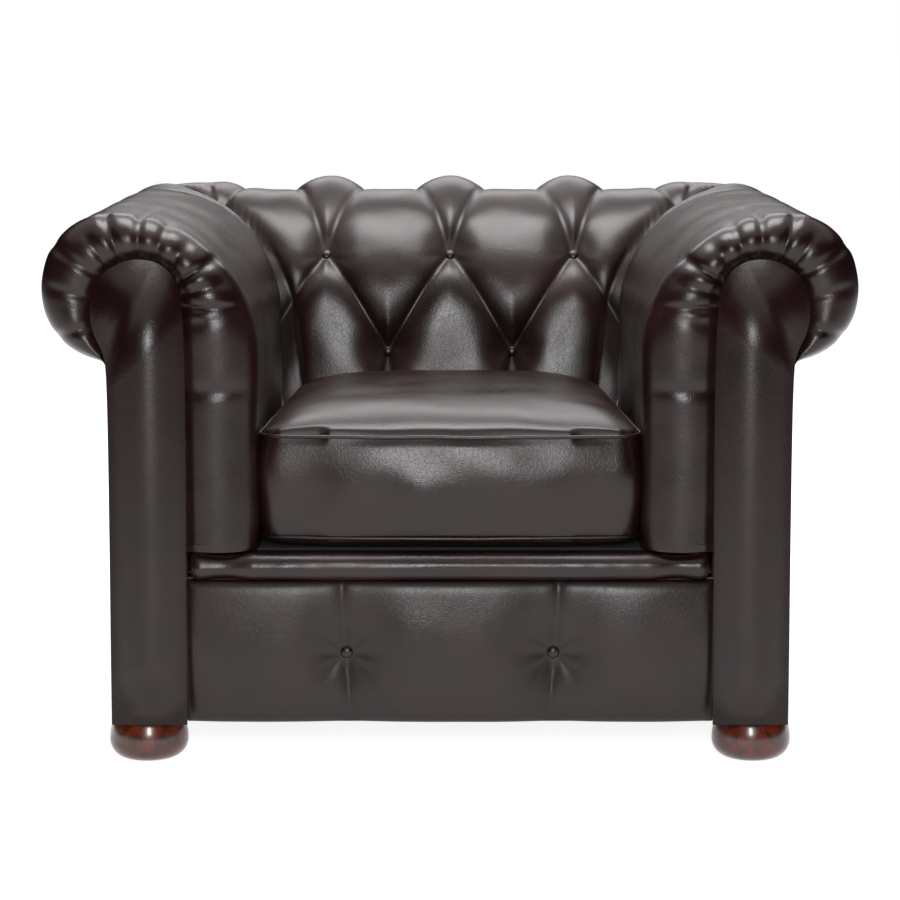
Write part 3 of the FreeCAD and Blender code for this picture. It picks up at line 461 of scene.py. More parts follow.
# %% Finish a piece
def piece(name, bm, body, slot, *replaced, rounded=0):
    """Turns a bmesh into a named piece of the chair."""
    mesh = mesh_of(name, bm)
    mesh.shade_smooth()
    mesh.materials.append(FINISHES[slot])
    made = placed(name, mesh)
    if rounded:
        rounded_by(made, rounded)
    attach(made, body)
    if replaced:
        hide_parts(*replaced)
    print(name, len(mesh.polygons), "faces")
    return made


def laid(columns, rows, place):
    """A grid laid on a surface: place gives (point, crease) for a column and a row; the leather's
    material darkens by the crease value as painted shade.
    """
    bm = bmesh.new()
    bmesh.ops.create_grid(bm, x_segments=len(columns) - 1, y_segments=len(rows) - 1, size=0.5)
    crease = bm.verts.layers.float.new("crease")
    for vert in bm.verts:
        column = columns[round((vert.co.x + 0.5) * (len(columns) - 1))]
        row = rows[round((vert.co.y + 0.5) * (len(rows) - 1))]
        vert.co, vert[crease] = place(column, row)
    return bm


SEAM_DEPTH = 0.070


def hem(bm, depth, way=None, seam=None, front=None):
    """Turns the leather's free edges in: against its face, against way, or deep into a seam's plane.

    Edges in front of a place (x, y, z) turn in towards it instead.
    """
    bm.normal_update()
    edge = [e for e in bm.edges if e.is_boundary]
    inward = {v: (way or v.normal).copy() for e in edge for v in e.verts}
    for vert in inward if seam else ():
        for side in (1, -1):
            across = Vector((side, -1, 0)).normalized()
            if abs((vert.co - Vector((side * seam[0], seam[1], 0))).dot(across)) < 1e-4:
                down = vert.normal - across * vert.normal.dot(across)
                inward[vert] = down.normalized() * (SEAM_DEPTH / depth)
    for vert in inward if front else ():
        if vert.co.y < front[1]:
            inward[vert] = (vert.co - Vector((front[0], vert.co.y, front[2]))).normalized()
    for share in (0.15, 0.85):
        source = {tuple(v.co): inward[v] for v in inward}
        made = bmesh.ops.extrude_edge_only(bm, edges=edge)["geom"]
        inward = {g: source[tuple(g.co)] for g in made if isinstance(g, bmesh.types.BMVert)}
        edge = [g for g in made if isinstance(g, bmesh.types.BMEdge) and g.is_boundary]
        for vert, direction in inward.items():
            vert.co -= direction * depth * share


def steps(low, high, count):
    return [low + (high - low) * k / count for k in range(count + 1)]


# %% [markdown]
# The inside back is deep-buttoned. The cords of the buttons pull the leather into the stuffing,
# and the spare leather folds into straight pleats between them, so the puffs are diamonds. A grid
# is laid whose diagonals fall on the pleats, and its points are sunk by their distance to them.

# %% Buttons and pleats of the back
HALF = 0.0925
UPPER = BACK.at_height(0.628)
LOWER = BACK.at_height(0.477)
REAR = ROLL * math.pi / 2
EVEN = [k * HALF for k in (-4, -2, 0, 2, 4)]
ODD = [k * HALF for k in (-5, -3, -1, 1, 3, 5)]
BUTTON_SINK = 0.024
DEEPEST = 0.0265
LAP = 0.12
PLEAT_REACH, PLEAT_DEPTH = 0.047, 0.0135
PULL_REACH, PULL_DEPTH = 0.033, 0.0125
CORNER_REACH = 0.034
CREST_SWELL, SWELL_REACH = 0.011, 0.08
pleats = []
for x in EVEN:
    for side in (-HALF, HALF):
        if abs(x + side) < 4 * HALF:
            pleats += [((x, UPPER), (x + side, LOWER)), ((x, UPPER), (x + side, REAR))]
pleats += [((x, REAR), (x, ROLL_END)) for x in ODD]
tucks = [((x, LOWER), (x + lean * 0.024, BACK.bottom + 0.03), 0.034, 0.012)
         for x in ODD for lean in (-1, 0, 1)]
pulls = [(x, UPPER) for x in EVEN] + [(x, s) for x in ODD for s in (LOWER, REAR)]
corner_folds = [((side * 0.262, -0.31), (side * (0.300 + 0.03 * k), -0.16), 0.026, 0.009)
                for side in (-1, 1) for k in range(3)]
corner_folds += [((side * 0.372, -0.02), (side * 0.350, -0.12), 0.024, 0.007) for side in (-1, 1)]


def back_depth(x, s):
    depth = tuck(min(beside((x, s), a, b)[0] for a, b in pleats), PLEAT_REACH, PLEAT_DEPTH)
    depth = max([depth] + [fold((x, s), crease) for crease in tucks + corner_folds])
    for bx, bs in pulls:
        r, turn = math.hypot(x - bx, s - bs), math.atan2(s - bs, x - bx)
        depth += PULL_DEPTH * math.exp(-(r / PULL_REACH) ** 2)
        depth += 0.0011 * math.cos(9 * turn + 40 * bx) * (r / 0.02) * math.exp(-(r / 0.026) ** 2)
    fade = between((4 * HALF - abs(x)) / HALF)
    swell = fade * CREST_SWELL * math.cos(math.pi * x / HALF)
    return min(depth, BUTTON_SINK) - swell * math.exp(-((s - 0.02) / SWELL_REACH) ** 2)


def back_leather(x, s):
    to_corner = (ROLL_X + BACK.point(s)[0] - abs(x)) / math.sqrt(2)
    corner = 0.006 + 0.006 * between(-s / 0.2)
    depth = back_depth(x, s) + tuck(max(to_corner, 0.0), CORNER_REACH, corner)
    depth = min(depth + ripple((x, s, 0.3), 0.05, 0.0012), DEEPEST)
    u, z = BACK.point(s, depth)
    # The second value, the sinking as a share of a button's depth, is painted shade in the pleats
    # and round the buttons.
    return Vector((x, ROLL_Y + u, z)), between(depth / BUTTON_SINK)


# %% Lay the back's leather
FINE = 26
columns = steps(-5.75 * HALF, 5.75 * HALF, round(5.75 * 2 * FINE))
rows = steps(BACK.bottom, LOWER, 16)[:-1] + steps(LOWER, UPPER, FINE)[:-1]
rows += steps(UPPER, REAR, FINE)[:-1] + steps(REAR, ROLL_END, 10)
bm = laid(columns, rows, back_leather)


def with_edges(faces):
    return list({g for f in faces for g in (*f.verts, *f.edges, f)})


for side in (1, -1):
    for lap, inner in ((LAP, True), (0.0, False)):
        half = with_edges([f for f in bm.faces if (f.calc_center_median().y < ROLL_Y) == inner])
        bmesh.ops.bisect_plane(bm, geom=half, dist=1e-5, plane_co=(side * ROLL_X, ROLL_Y, CREST),
                               plane_no=(side, -1, lap), clear_outer=True)
hem(bm, 0.014, seam=(ROLL_X, ROLL_Y))
back = piece("back_leather", bm, "chair", "leather_brown", "inside_back_cover", rounded=1)

# %% [markdown]
# Each arm is upholstered in one piece of leather. It runs from the corner along the arm, and at
# the front it rolls over to the edge of the facing, where the spare leather is gathered into small
# pleats. The front is a sweep from the facing's outline out to the arm's full section.

# %% Outline of the facing
FACING = [(0.3400, 0.0572), (0.3400, 0.597), (0.346, 0.628), (0.362, 0.650),
          (0.392, 0.660), (0.424, 0.652), (0.447, 0.632), (0.456, 0.600),
          (0.453, 0.570), (0.441, 0.540), (0.4378, 0.520), (0.4378, 0.0572)]
HEAD = (0.395, 0.597)
polar = sorted((math.atan2(z - HEAD[1], x - HEAD[0]), math.hypot(x - HEAD[0], z - HEAD[1]))
               for x, z in FACING[2:-1])
polar.append((math.pi, HEAD[0] - FACING[1][0]))


def facing_edge(x, z):
    """The place on the facing's edge that the leather at (x, z) is drawn to."""
    if z <= HEAD[1] and x < HEAD[0]:
        return FACING[0][0], z
    angle = math.atan2(z - HEAD[1], x - HEAD[0])
    for (a, r0), (b, r1) in zip(polar, polar[1:]):
        if angle <= b:
            break
    r = r0 + (r1 - r0) * between((angle - a) / (b - a))
    return HEAD[0] + r * math.cos(angle), HEAD[1] + r * math.sin(angle)


# %% Shape and folds of an arm
ARM_FRONT = -0.402
FRONT_REACH = 0.042
FRONT_TURN = math.radians(150)
FRONT_UNDER = 0.13
BAND = 0.10


def arm_plain(t, s):
    """The arm without its folds: t is along the leather from where the roll is full."""
    u, z = ARM.point(s)
    x = ROLL_X + u
    if t >= 0:
        return Vector((x, ARM_FRONT + t, z))
    edge = facing_edge(x, z)
    angle = FRONT_TURN * -t / BAND
    out = 1 - (1 + FRONT_UNDER) * (1 - math.cos(angle)) / (1 - math.cos(FRONT_TURN))
    y = ARM_FRONT - FRONT_REACH * math.sin(angle)
    return Vector((edge[0] + out * (x - edge[0]), y, edge[1] + out * (z - edge[1])))


def s_facing(angle):
    """The place on the arm's section that lies at an angle from the facing's middle."""
    def miss(s):
        u, z = ARM.point(s)
        seen = math.atan2(z - HEAD[1], ROLL_X + u - HEAD[0])
        return abs(math.remainder(seen - math.radians(angle), 2 * math.pi))

    return min((miss(s), s) for s in steps(ARM.bottom, ROLL_END, 400))[1]


arm_creases = []
for angle, length, lean in ((146, 0.10, 2), (178, 0.085, 4), (163, 0.06, 0), (107, 0.12, 3),
                            (125, 0.07, 2), (89, 0.31, 4), (71, 0.10, -2), (55, 0.06, 0),
                            (38, 0.09, -3), (12, 0.06, 0), (-21, 0.08, 2)):
    start, end = s_facing(angle), s_facing(angle + lean)
    arm_creases.append(((-BAND - 0.01, start), (length * 1.3 - BAND, end), 0.014, 0.010))
for height, rise in ((0.565, 0.03), (0.49, 0.002)):
    s = ARM.at_height(height)
    arm_creases.append(((-BAND - 0.01, s), (-0.02, s + rise), 0.013, 0.005))
CORNER_TUFT = (ROLL_Y - ARM_FRONT - 0.195, ARM.at_height(0.50))
for k, spread in enumerate((0.020, 0.062, 0.108, 0.160)):
    top = (ROLL_Y - ARM_FRONT - spread, 0.05 - 0.012 * k)
    foot = (CORNER_TUFT[0] - 0.006 * k, CORNER_TUFT[1] + 0.03 * k)
    arm_creases.append((foot, top, 0.028, 0.0125))
arm_creases.append((CORNER_TUFT, (CORNER_TUFT[0] - 0.02, ARM.bottom), 0.03, 0.012))


def arm_leather(t, s):
    depth = max(fold((t, s), crease) for crease in arm_creases) * between((t + BAND) / 0.026)
    to_corner = (ROLL_Y + ARM.point(s)[0] - (ARM_FRONT + t)) / math.sqrt(2)
    depth += tuck(max(to_corner, 0.0), 0.035, 0.006 + 0.008 * between(-s / 0.2))
    depth += 0.010 * math.exp(-(math.dist((t, s), CORNER_TUFT) / 0.04) ** 2)
    depth += ripple((t, s, 1.7), 0.09, 0.0022) + ripple((t, s, 5.1), 0.03, 0.0005)
    depth = min(depth, 0.025)
    here = arm_plain(t, s)
    along = arm_plain(t + 0.002, s) - arm_plain(t - 0.002, s)
    across = arm_plain(t, s + 0.002) - arm_plain(t, s - 0.002)
    way = along.cross(across)
    way = way.normalized() if way.length > 1e-9 else FRONT
    # The second value, the sinking, is painted shade in the folds and gathers.
    return here + way * depth, between(depth / 0.02)


# %% Lay both arms
def mirrored(bm):
    """The other side's piece, with its faces turned the right way out again."""
    bmesh.ops.scale(bm, vec=(-1, 1, 1), verts=bm.verts)
    bmesh.ops.reverse_faces(bm, faces=bm.faces)
    return bm


def arm_mesh():
    columns = steps(-BAND, 0.0, 17)[:-1] + steps(0.0, ROLL_Y + ROLL - ARM_FRONT + 0.02, 120)
    rows = steps(ARM.bottom, ARM.tangent, 30)[:-1] + steps(ARM.tangent, ROLL_END, 78)
    bm = laid(columns, rows, arm_leather)
    everything = bm.verts[:] + bm.edges[:] + bm.faces[:]
    bmesh.ops.bisect_plane(bm, geom=everything, dist=1e-5, plane_co=(ROLL_X, ROLL_Y, 0),
                           plane_no=(1, -1, 0), clear_inner=True)
    facing(bm, UP)
    hem(bm, 0.012, seam=(ROLL_X, ROLL_Y), front=(HEAD[0], ARM_FRONT, HEAD[1]))
    return bm


for side in ("right", "left"):
    bm = arm_mesh() if side == "right" else mirrored(arm_mesh())
    arm = piece("arm_leather_" + side, bm, "chair", "leather_brown",
                "inside_arm_cover_" + side, "arm_front_roll_" + side, rounded=1)

# %% [markdown]
# The facing is a shaped board with padding and leather over it, pressed onto the front of the arm.
# Its outline is a curve through a few points. The face inside it is inset again and again, and each
# ring steps further forward, which gives a soft half-round edge and a flat middle.

# %% Padded facings
FACING_HALF = 0.044
FACING_RISE = 0.0215
FACING_EDGE_Y = -0.4283


def facing_mesh():
    curve = bpy.data.curves.new("facing_outline", "CURVE")
    curve.dimensions, curve.fill_mode, curve.resolution_u = "2D", "NONE", 14
    spline = curve.splines.new("BEZIER")
    spline.bezier_points.add(len(FACING) - 1)
    spline.use_cyclic_u = True
    for k, (point, place) in enumerate(zip(spline.bezier_points, FACING)):
        point.co = (place[0], place[1], 0)
        kind = "VECTOR" if k in (0, len(FACING) - 1) else "AUTO"
        point.handle_left_type = point.handle_right_type = kind
    holder = placed("facing_outline", curve)
    bm = bmesh_of(bpy.data.meshes.new_from_object(holder))
    bpy.data.objects.remove(holder)
    bmesh.ops.remove_doubles(bm, verts=bm.verts, dist=1e-5)
    for vert in bm.verts:
        vert.co = Vector((vert.co.x, FACING_EDGE_Y, vert.co.y))
    face = bmesh.ops.contextual_create(bm, geom=bm.edges[:])["faces"][0]
    inner, reach = face, 0.0
    for turn in range(6, 91, 6):
        inset = FACING_HALF * (1 - math.cos(math.radians(turn)))
        forward = FACING_RISE * math.sin(math.radians(turn))
        bmesh.ops.inset_region(bm, faces=[inner], thickness=inset - reach, depth=0.0,
                               use_even_offset=True)
        for vert in inner.verts:
            vert.co.y = FACING_EDGE_Y - forward
        reach = inset
    facing(bm, FRONT)
    hem(bm, 0.0028, FRONT)
    return bm


for side in ("right", "left"):
    bm = facing_mesh() if side == "right" else mirrored(facing_mesh())
    panel_front = piece("facing_" + side, bm, "chair", "leather_brown", "arm_facing_" + side)

# %% [markdown]
# The front border is padded like the facings, with two buttons. Each button pulls a round dimple
# and a pleat over the border's full height, so the leather stands in three puffs.

# %% Front border
border_low, border_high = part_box("border_cover")
BORDER_BUTTONS = [(-0.134, 0.148), (0.134, 0.148)]
BORDER_LAP = 0.0018


def border_leather(x, z):
    middle, half = (border_low.z + border_high.z) / 2, (border_high.z - border_low.z) / 2
    puffs, gathers = 0.0, 0.0
    for bx, bz in BORDER_BUTTONS:
        lean = 0.006 * math.sin(14 * (z - bz)) * (1 if bx > 0 else -1)
        r, turn = math.hypot(x - bx, z - bz), math.atan2(z - bz, x - bx)
        pleat = tuck(x - bx - lean, 0.020, 0.0045) + 0.0055 * math.exp(-((x - bx) / 0.050) ** 2)
        puffs = max(puffs, pleat) + 0.0150 * math.exp(-(r / 0.046) ** 2)
        gathers += 0.0011 * math.cos(8 * turn) * (r / 0.02) * math.exp(-(r / 0.028) ** 2)
    ends = max((abs(x) - 0.24) / 0.10, 0.0)
    puffs += 0.007 * ends ** 2 + 0.010 * ((z - middle - 0.004) / half) ** 2
    edge = min(half - abs(z - middle), border_high.x - abs(x))
    depth = puffs + gathers + tuck(edge, 0.016, 0.005) + ripple((x, z, 2.2), 0.06, 0.0012)
    y = min(border_low.y - 0.004 + max(depth, -0.001), border_high.y - 0.0005)
    wide = x * (1 + BORDER_LAP / border_high.x)
    high = middle + (z - middle) * (1 + BORDER_LAP / half)
    # The second value, the sinking, is painted shade in the dimples and pleats.
    return Vector((wide, y, high)), between(depth / 0.022)


bm = laid(steps(border_low.x, border_high.x, 172), steps(border_low.z, border_high.z, 46),
          border_leather)
hem(bm, 0.006, FRONT)
border = piece("border_leather", bm, "chair", "leather_brown", "border_cover", rounded=1)

# %% [markdown]
# Above the border a narrow roll of leather closes the front of the deck. It is drawn tight along
# the middle and stands fuller at its ends.

# %% Lip above the border
lip_low, lip_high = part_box("front_lip")


def lip_leather(x, turn):
    """A point of the roll's half-round section, from the foot round the front to the top."""
    half = (lip_high.z - lip_low.z) / 2
    share = abs(x) / lip_high.x
    full = 0.98
    if share > 0.75:
        full = 0.90 + 0.10 * math.cos(2 * math.pi * max(share - 0.75, 0.0) / 0.25)
    angle = math.radians(-100 + 200 * turn)
    back = max(0.0, abs(angle) - math.pi / 2) * 0.09
    y = lip_low.y + half * (1 - full * math.cos(angle)) + back
    close = tuck(lip_high.x - abs(x), 0.016, 0.010)
    rise = math.sin(between(angle, -1.5708, 1.5708))
    z = (lip_low.z + half) + (half - 0.0008 - 0.4 * close) * full * rise
    if turn > 0.97:
        y = lip_high.y
    gather = 0.0002 * math.sin(150 * x + 2 * math.sin(31 * x)) * math.cos(angle)
    y = y + close + gather + ripple((x, turn, 0), 0.09, 0.0005)
    # The second value is painted shade where the roll is drawn in at its ends.
    return Vector((x, y, z)), min(close * 60, 1.0)


bm = laid(steps(lip_low.x, lip_high.x, 180), steps(0.0, 1.0, 20), lip_leather)
facing(bm, FRONT)
hem(bm, 0.006, FRONT)
lip = piece("lip_leather", bm, "chair", "leather_brown", "front_lip", rounded=1)

# %% [markdown]
# A covered button is a metal shell with leather pulled over it: a low dome with a turned-under rim
# and faint gathers round it. One profile is spun about the button's own axis and set in its place.

# %% Covered buttons
def button_into(bm, seat, out, radius=0.0083, dome=0.0055):
    """Adds one domed button at seat, facing out."""
    fresh = bmesh.new()
    profile = [(0.0, dome)]
    for a in map(math.radians, (18, 36, 54, 72, 85)):
        profile.append((radius * math.sin(a), dome * math.cos(a) ** 0.8))
    profile += [(radius * 1.02, -0.0008), (radius * 0.9, -0.0025), (radius * 0.5, -0.004)]
    chain = [fresh.verts.new((r, 0, z)) for r, z in profile]
    edges = [fresh.edges.new(pair) for pair in zip(chain, chain[1:])]
    bmesh.ops.spin(fresh, geom=chain + edges, cent=(0, 0, 0), axis=(0, 0, 1), angle=2 * math.pi,
                   steps=24, use_merge=True)
    bmesh.ops.remove_doubles(fresh, verts=fresh.verts, dist=1e-5)
    bmesh.ops.recalc_face_normals(fresh, faces=fresh.faces)
    for vert in fresh.verts:
        turn, r = math.atan2(vert.co.y, vert.co.x), math.hypot(vert.co.x, vert.co.y)
        if r > 0.6 * radius:
            vert.co.z += 0.00022 * math.cos(12 * turn)
    turned = UP.rotation_difference(out).to_matrix().to_4x4()
    bmesh.ops.transform(fresh, matrix=Matrix.Translation(seat) @ turned, verts=fresh.verts)
    mesh = mesh_of("button", fresh)
    bm.from_mesh(mesh)
    bpy.data.meshes.remove(mesh)


bm = bmesh.new()
for x, s in pulls:
    if abs(x) < ROLL_X + BACK.point(s)[0] - 0.074:
        seat_u, seat_z = BACK.point(s, BUTTON_SINK - 0.0015)
        out_u, out_z = BACK.point(s)
        out = Vector((0, out_u - seat_u, out_z - seat_z)).normalized()
        button_into(bm, Vector((x, ROLL_Y + seat_u, seat_z)), out)
piece("back_buttons_covered", bm, "chair", "leather_brown", "back_buttons", rounded=1)
bm = bmesh.new()
for x, z in BORDER_BUTTONS:
    button_into(bm, Vector((x, border_low.y + 0.018, z)), FRONT)
piece("border_buttons_covered", bm, "chair", "leather_brown", "border_buttons", rounded=1)

# %% [markdown]
# The loose cushion is a box cushion: a top and a bottom panel, joined by a band with piping along
# both seams. Its seams are sewn to size, and the foam swells the panels between them. So a cloth
# simulation blows the cover up from inside while the seams are held, and the swelling is capped to
# what the foam can do.

# %% Plan of the cushion
cushion_low, cushion_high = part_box("cushion_cover")
SEAM_LOW = 0.297
SEAM_HIGH = 0.429
CORNER = 0.030
FRONT_HALF = 0.2465
REAR_HALF = 0.2165
FRONT_Y = -0.4215
FRONT_BOW = 0.013
REAR_Y = cushion_high.y - 0.006


def bowed(x, y):
    """The front seam's bow: the middle stands a little further forward than the corners."""
    return y + FRONT_BOW * (x / FRONT_HALF) ** 2 * max(0.0, 1 - (y - FRONT_Y) / 0.2)


def plan_ring(grow=0.0, round_steps=7):
    """The cushion's outline at its seams, as (x, y) places from the front left corner round."""
    ring = []
    corners = ((-1, FRONT_HALF, FRONT_Y, 1, 180), (1, FRONT_HALF, FRONT_Y, 1, 270),
               (1, REAR_HALF, REAR_Y, -1, 0), (-1, REAR_HALF, REAR_Y, -1, 90))
    for side, half, y, way, start in corners:
        centre = (side * (half - CORNER), y + way * CORNER)
        for k in range(round_steps + 1):
            angle = math.radians(start + 90 * k / round_steps)
            x = centre[0] + (CORNER + grow) * math.cos(angle)
            y = centre[1] + (CORNER + grow) * math.sin(angle)
            ring.append((x, bowed(x, y)))
    start, end = ring[round_steps], ring[round_steps + 1]
    front = [(start[0] + (end[0] - start[0]) * k / 16, FRONT_Y - grow) for k in range(1, 16)]
    return ring[:round_steps + 1] + [(x, bowed(x, y)) for x, y in front] + ring[round_steps + 1:]


def cushion_block():
    """A closed block over the plan, from seam to seam, in an even mesh."""
    bm = bmesh.new()
    ring = [bm.verts.new((x, y, SEAM_LOW)) for x, y in plan_ring()]
    foot = bm.faces.new(ring)
    top = bmesh.ops.extrude_face_region(bm, geom=[foot])["geom"]
    raised = [g for g in top if isinstance(g, bmesh.types.BMVert)]
    bmesh.ops.translate(bm, vec=(0, 0, SEAM_HIGH - SEAM_LOW), verts=raised)
    bmesh.ops.recalc_face_normals(bm, faces=bm.faces)
    return bm


# %% Swell the cushion
def even_mesh(name, bm, size):
    """Remeshes a closed shape to even faces and returns its object."""
    made = placed(name, mesh_of(name, bm))
    remesh = made.modifiers.new("even", "REMESH")
    remesh.mode, remesh.voxel_size = "VOXEL", size
    graph = bpy.context.evaluated_depsgraph_get()
    evened = bpy.data.meshes.new_from_object(made.evaluated_get(graph))
    made.modifiers.clear()
    made.data = evened
    return made


def swell_by_cloth(made, pinned, frames=20, pressure=4.0):
    """Blows a closed mesh up from inside, with some points held, and returns the new places."""
    held = made.vertex_groups.new(name="held")
    held.add([i for i, p in enumerate(pinned) if p], 1.0, "REPLACE")
    cloth = made.modifiers.new("swell", "CLOTH")
    cloth.settings.use_pressure = True
    cloth.settings.uniform_pressure_force = pressure
    cloth.settings.vertex_group_mass = "held"
    cloth.settings.effector_weights.gravity = 0.0
    cloth.settings.quality = 6
    cloth.settings.tension_stiffness = cloth.settings.compression_stiffness = 18.0
    cloth.settings.bending_stiffness = 2.0
    scene = bpy.context.scene
    for k in range(1, frames + 1):
        scene.frame_set(k)
    graph = bpy.context.evaluated_depsgraph_get()
    moved = [v.co.copy() for v in made.evaluated_get(graph).data.vertices]
    made.modifiers.clear()
    scene.frame_set(1)
    return moved


block = even_mesh("cushion_leather", cushion_block(), 0.0065)
ring = plan_ring()


def to_seam(p):
    """How far a point of the block is from its plan's edge."""
    return min(beside(p, a, b)[0] for a, b in zip(ring, ring[1:] + ring[:1]))


edge_distance = [to_seam(v.co) for v in block.data.vertices]
pinned = [d < 0.008 and (v.co.z > SEAM_HIGH - 0.008 or v.co.z < SEAM_LOW + 0.008)
          for d, v in zip(edge_distance, block.data.vertices)]
start = [v.co.copy() for v in block.data.vertices]
moved = swell_by_cloth(block, pinned)
print("cushion:", len(start), "points, held", sum(pinned), "moved most",
      round(max((a - b).length for a, b in zip(start, moved)), 4))

# %% Crown, seams and painted seam shade of the cushion
TOP_CROWN = cushion_high.z - SEAM_HIGH - 0.002
BULGE = 0.0095
CROWN_REACH = 0.13


def crown(p):
    """Height of the foam's crown over the plan, from 0 at the seams to 1 in the middle."""
    half = FRONT_HALF + (REAR_HALF - FRONT_HALF) * (p.y - FRONT_Y) / (REAR_Y - FRONT_Y)
    edges = (half - abs(p.x), min(p.y - FRONT_Y, REAR_Y - p.y))
    across, along = [math.sqrt(1 - (1 - between(e / CROWN_REACH)) ** 2) for e in edges]
    return across * along


mesh = block.data
seam_shade = mesh.attributes.new("crease", "FLOAT", "POINT")
for k, vert in enumerate(mesh.vertices):
    p, d = start[k], edge_distance[k]
    blown = moved[k] - p
    if blown.length > 1e-6:
        blown *= 0.007 * math.tanh(blown.length / 0.007) / blown.length
    q = p + 0.6 * blown
    if p.z > SEAM_HIGH - 0.002:
        dent = 0.004 * math.exp(-((p.x - 0.13) / 0.05) ** 2 - ((p.y + 0.35) / 0.06) ** 2)
        height = SEAM_HIGH + TOP_CROWN * crown(p) + ripple(p, 0.09, 0.0022) - dent
        q.z = height + 0.4 * max(blown.z, 0) * crown(p)
    elif p.z < SEAM_LOW + 0.002:
        q.z = SEAM_LOW - (SEAM_LOW - cushion_low.z - 0.0006) * min(crown(p) * 1.6, 1.0)
    else:
        share = (p.z - SEAM_LOW) / (SEAM_HIGH - SEAM_LOW)
        middle = Vector((p.x * 0.9, (p.y + 0.146) * 0.9 - 0.146, p.z))
        out = (Vector((p.x, p.y, p.z)) - middle).normalized()
        q = p + out * BULGE * 4 * share * (1 - share) * (1 + ripple(p, 0.07, 0.5))
    # painted shade: the crease value rises along both seams, so the leather is darker there
    seam = min(abs(p.z - SEAM_HIGH), abs(p.z - SEAM_LOW))
    near = math.exp(-((seam / 0.006) ** 2 + (d / 0.010) ** 2))
    seam_shade.data[k].value = min(0.9 * near, 1.0)
    vert.co = q
print("cushion crown at", round(max(v.co.z for v in mesh.vertices), 4))
mesh.materials.clear()
mesh.materials.append(FINISHES["leather_brown"])
mesh.shade_smooth()
rounded_by(block, 1)
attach(block, "seat_cushion")
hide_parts("cushion_cover")

# %% [markdown]
# Piping is a cord in a strip of leather, sewn between the panels. It runs round both seams, so it
# is a thin round tube along the cushion's outline.

# %% Piping
def tube(name, path, radius, body, slot, *replaced):
    """A round tube along a closed path."""
    curve = bpy.data.curves.new(name, "CURVE")
    curve.dimensions, curve.bevel_depth, curve.bevel_resolution = "3D", radius, 3
    for ring in path:
        spline = curve.splines.new("POLY")
        spline.points.add(len(ring) - 1)
        spline.use_cyclic_u = True
        for point, place in zip(spline.points, ring):
            point.co = (*place, 1.0)
    holder = placed(name, curve)
    bm = bmesh_of(bpy.data.meshes.new_from_object(holder))
    bpy.data.objects.remove(holder)
    bmesh.ops.remove_doubles(bm, verts=bm.verts, dist=1e-5)
    bmesh.ops.recalc_face_normals(bm, faces=bm.faces)
    return piece(name, bm, body, slot, *replaced, rounded=1)


def denser(ring, length=0.012):
    """The ring with its long sides divided."""
    full = []
    for a, b in zip(ring, ring[1:] + ring[:1]):
        count = max(1, round(math.dist(a, b) / length))
        full += [tuple(p + (q - p) * k / count for p, q in zip(a, b)) for k in range(count)]
    return full


pipes = [[(x, y, z + ripple((x, y, z), 0.06, 0.0012)) for x, y in denser(plan_ring(0.0008))]
         for z in (SEAM_LOW, SEAM_HIGH)]
tube("cushion_piping_leather", pipes, 0.0026, "seat_cushion", "leather_brown", "cushion_piping")

# %% [markdown]
# The outside of the arms and of the back is plain leather over a lining board. It isn't buttoned,
# but it isn't flat either: it is pulled over wadding, so it swells a little and turns in at its
# edges. A grid the size of each panel is given that shape.

# %% Outside panels
def panel(name, node, body, slot, flat_axis, way, swell=0.0035, cell=0.014):
    """Soft panel in the box of a node. flat_axis is 0 or 1, and way is the side it faces."""
    low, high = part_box(node)
    wide = 1 - flat_axis
    face = high[flat_axis] if way > 0 else low[flat_axis]
    depth = high[flat_axis] - low[flat_axis]

    def place(a, z):
        edge = min(a - low[wide], high[wide] - a, z - low.z, high.z - z)
        sunk = tuck(edge, 0.018, depth * 0.25) + swell * 0.35
        sunk += ripple((a, z, face), 0.12, swell * 0.5)
        point = [0.0, 0.0, z]
        point[wide] = a
        point[flat_axis] = face - way * between(sunk, 0.0, depth * 0.9)
        # The second value is painted shade along the panel's edges, where the leather turns in.
        return Vector(point), between(0.9 - edge / 0.008)

    bm = laid(steps(low[wide], high[wide], round((high[wide] - low[wide]) / cell)),
              steps(low.z, high.z, round((high.z - low.z) / cell)), place)
    out = Vector((0, 0, 0))
    out[flat_axis] = way
    facing(bm, out)
    hem(bm, depth * 0.65, out)
    piece(name, bm, body, slot, node, rounded=1)


panel("outside_back_leather", "outside_back_cover", "chair", "leather_brown", 1, 1)
panel("outside_arm_leather_right", "outside_arm_cover_right", "chair", "leather_brown", 0, 1)
panel("outside_arm_leather_left", "outside_arm_cover_left", "chair", "leather_brown", 0, -1)

# %% [markdown]
# Three cloths are stretched flat: the hessian over the springs, the deck cloth under the cushion
# and the black dust cover under the chair. Each is a thin sheet between its tacked edges; only the
# deck cloth sags, by less than half a millimetre in the middle.

# %% Stretched cloths
def stretched(name, node, body, slot, sag):
    low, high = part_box(node)
    middle, half = (low + high) / 2, (high - low) / 2
    thick = high.z - low.z

    def place(x, y):
        across = max(1 - ((x - middle.x) / half.x) ** 2, 0)
        across *= max(1 - ((y - middle.y) / half.y) ** 2, 0)
        z = high.z - sag * across + ripple((x, y, 0), 0.05, 0.0004) * across
        return Vector((x, y, z)), 0.0

    bm = laid(steps(low.x, high.x, 48), steps(low.y, high.y, 48), place)
    bm.normal_update()
    made = piece(name, bm, body, slot, node)
    wall = made.modifiers.new("cloth", "SOLIDIFY")
    wall.thickness, wall.offset = thick * 0.8, -1.0


stretched("deck_cloth_sheet", "deck_cloth", "chair", "black_cloth", 0.0004)
stretched("dust_cover_sheet", "dust_cover", "chair", "black_cloth", 0.0)
stretched("spring_cover_sheet", "spring_cover", "chair", "hessian", 0.0)

# %% [markdown]
# The stuffing under the leather is soft too. A copy of each plain solid is merged, remeshed and
# smoothed, so its edges round off as wadding and foam do.

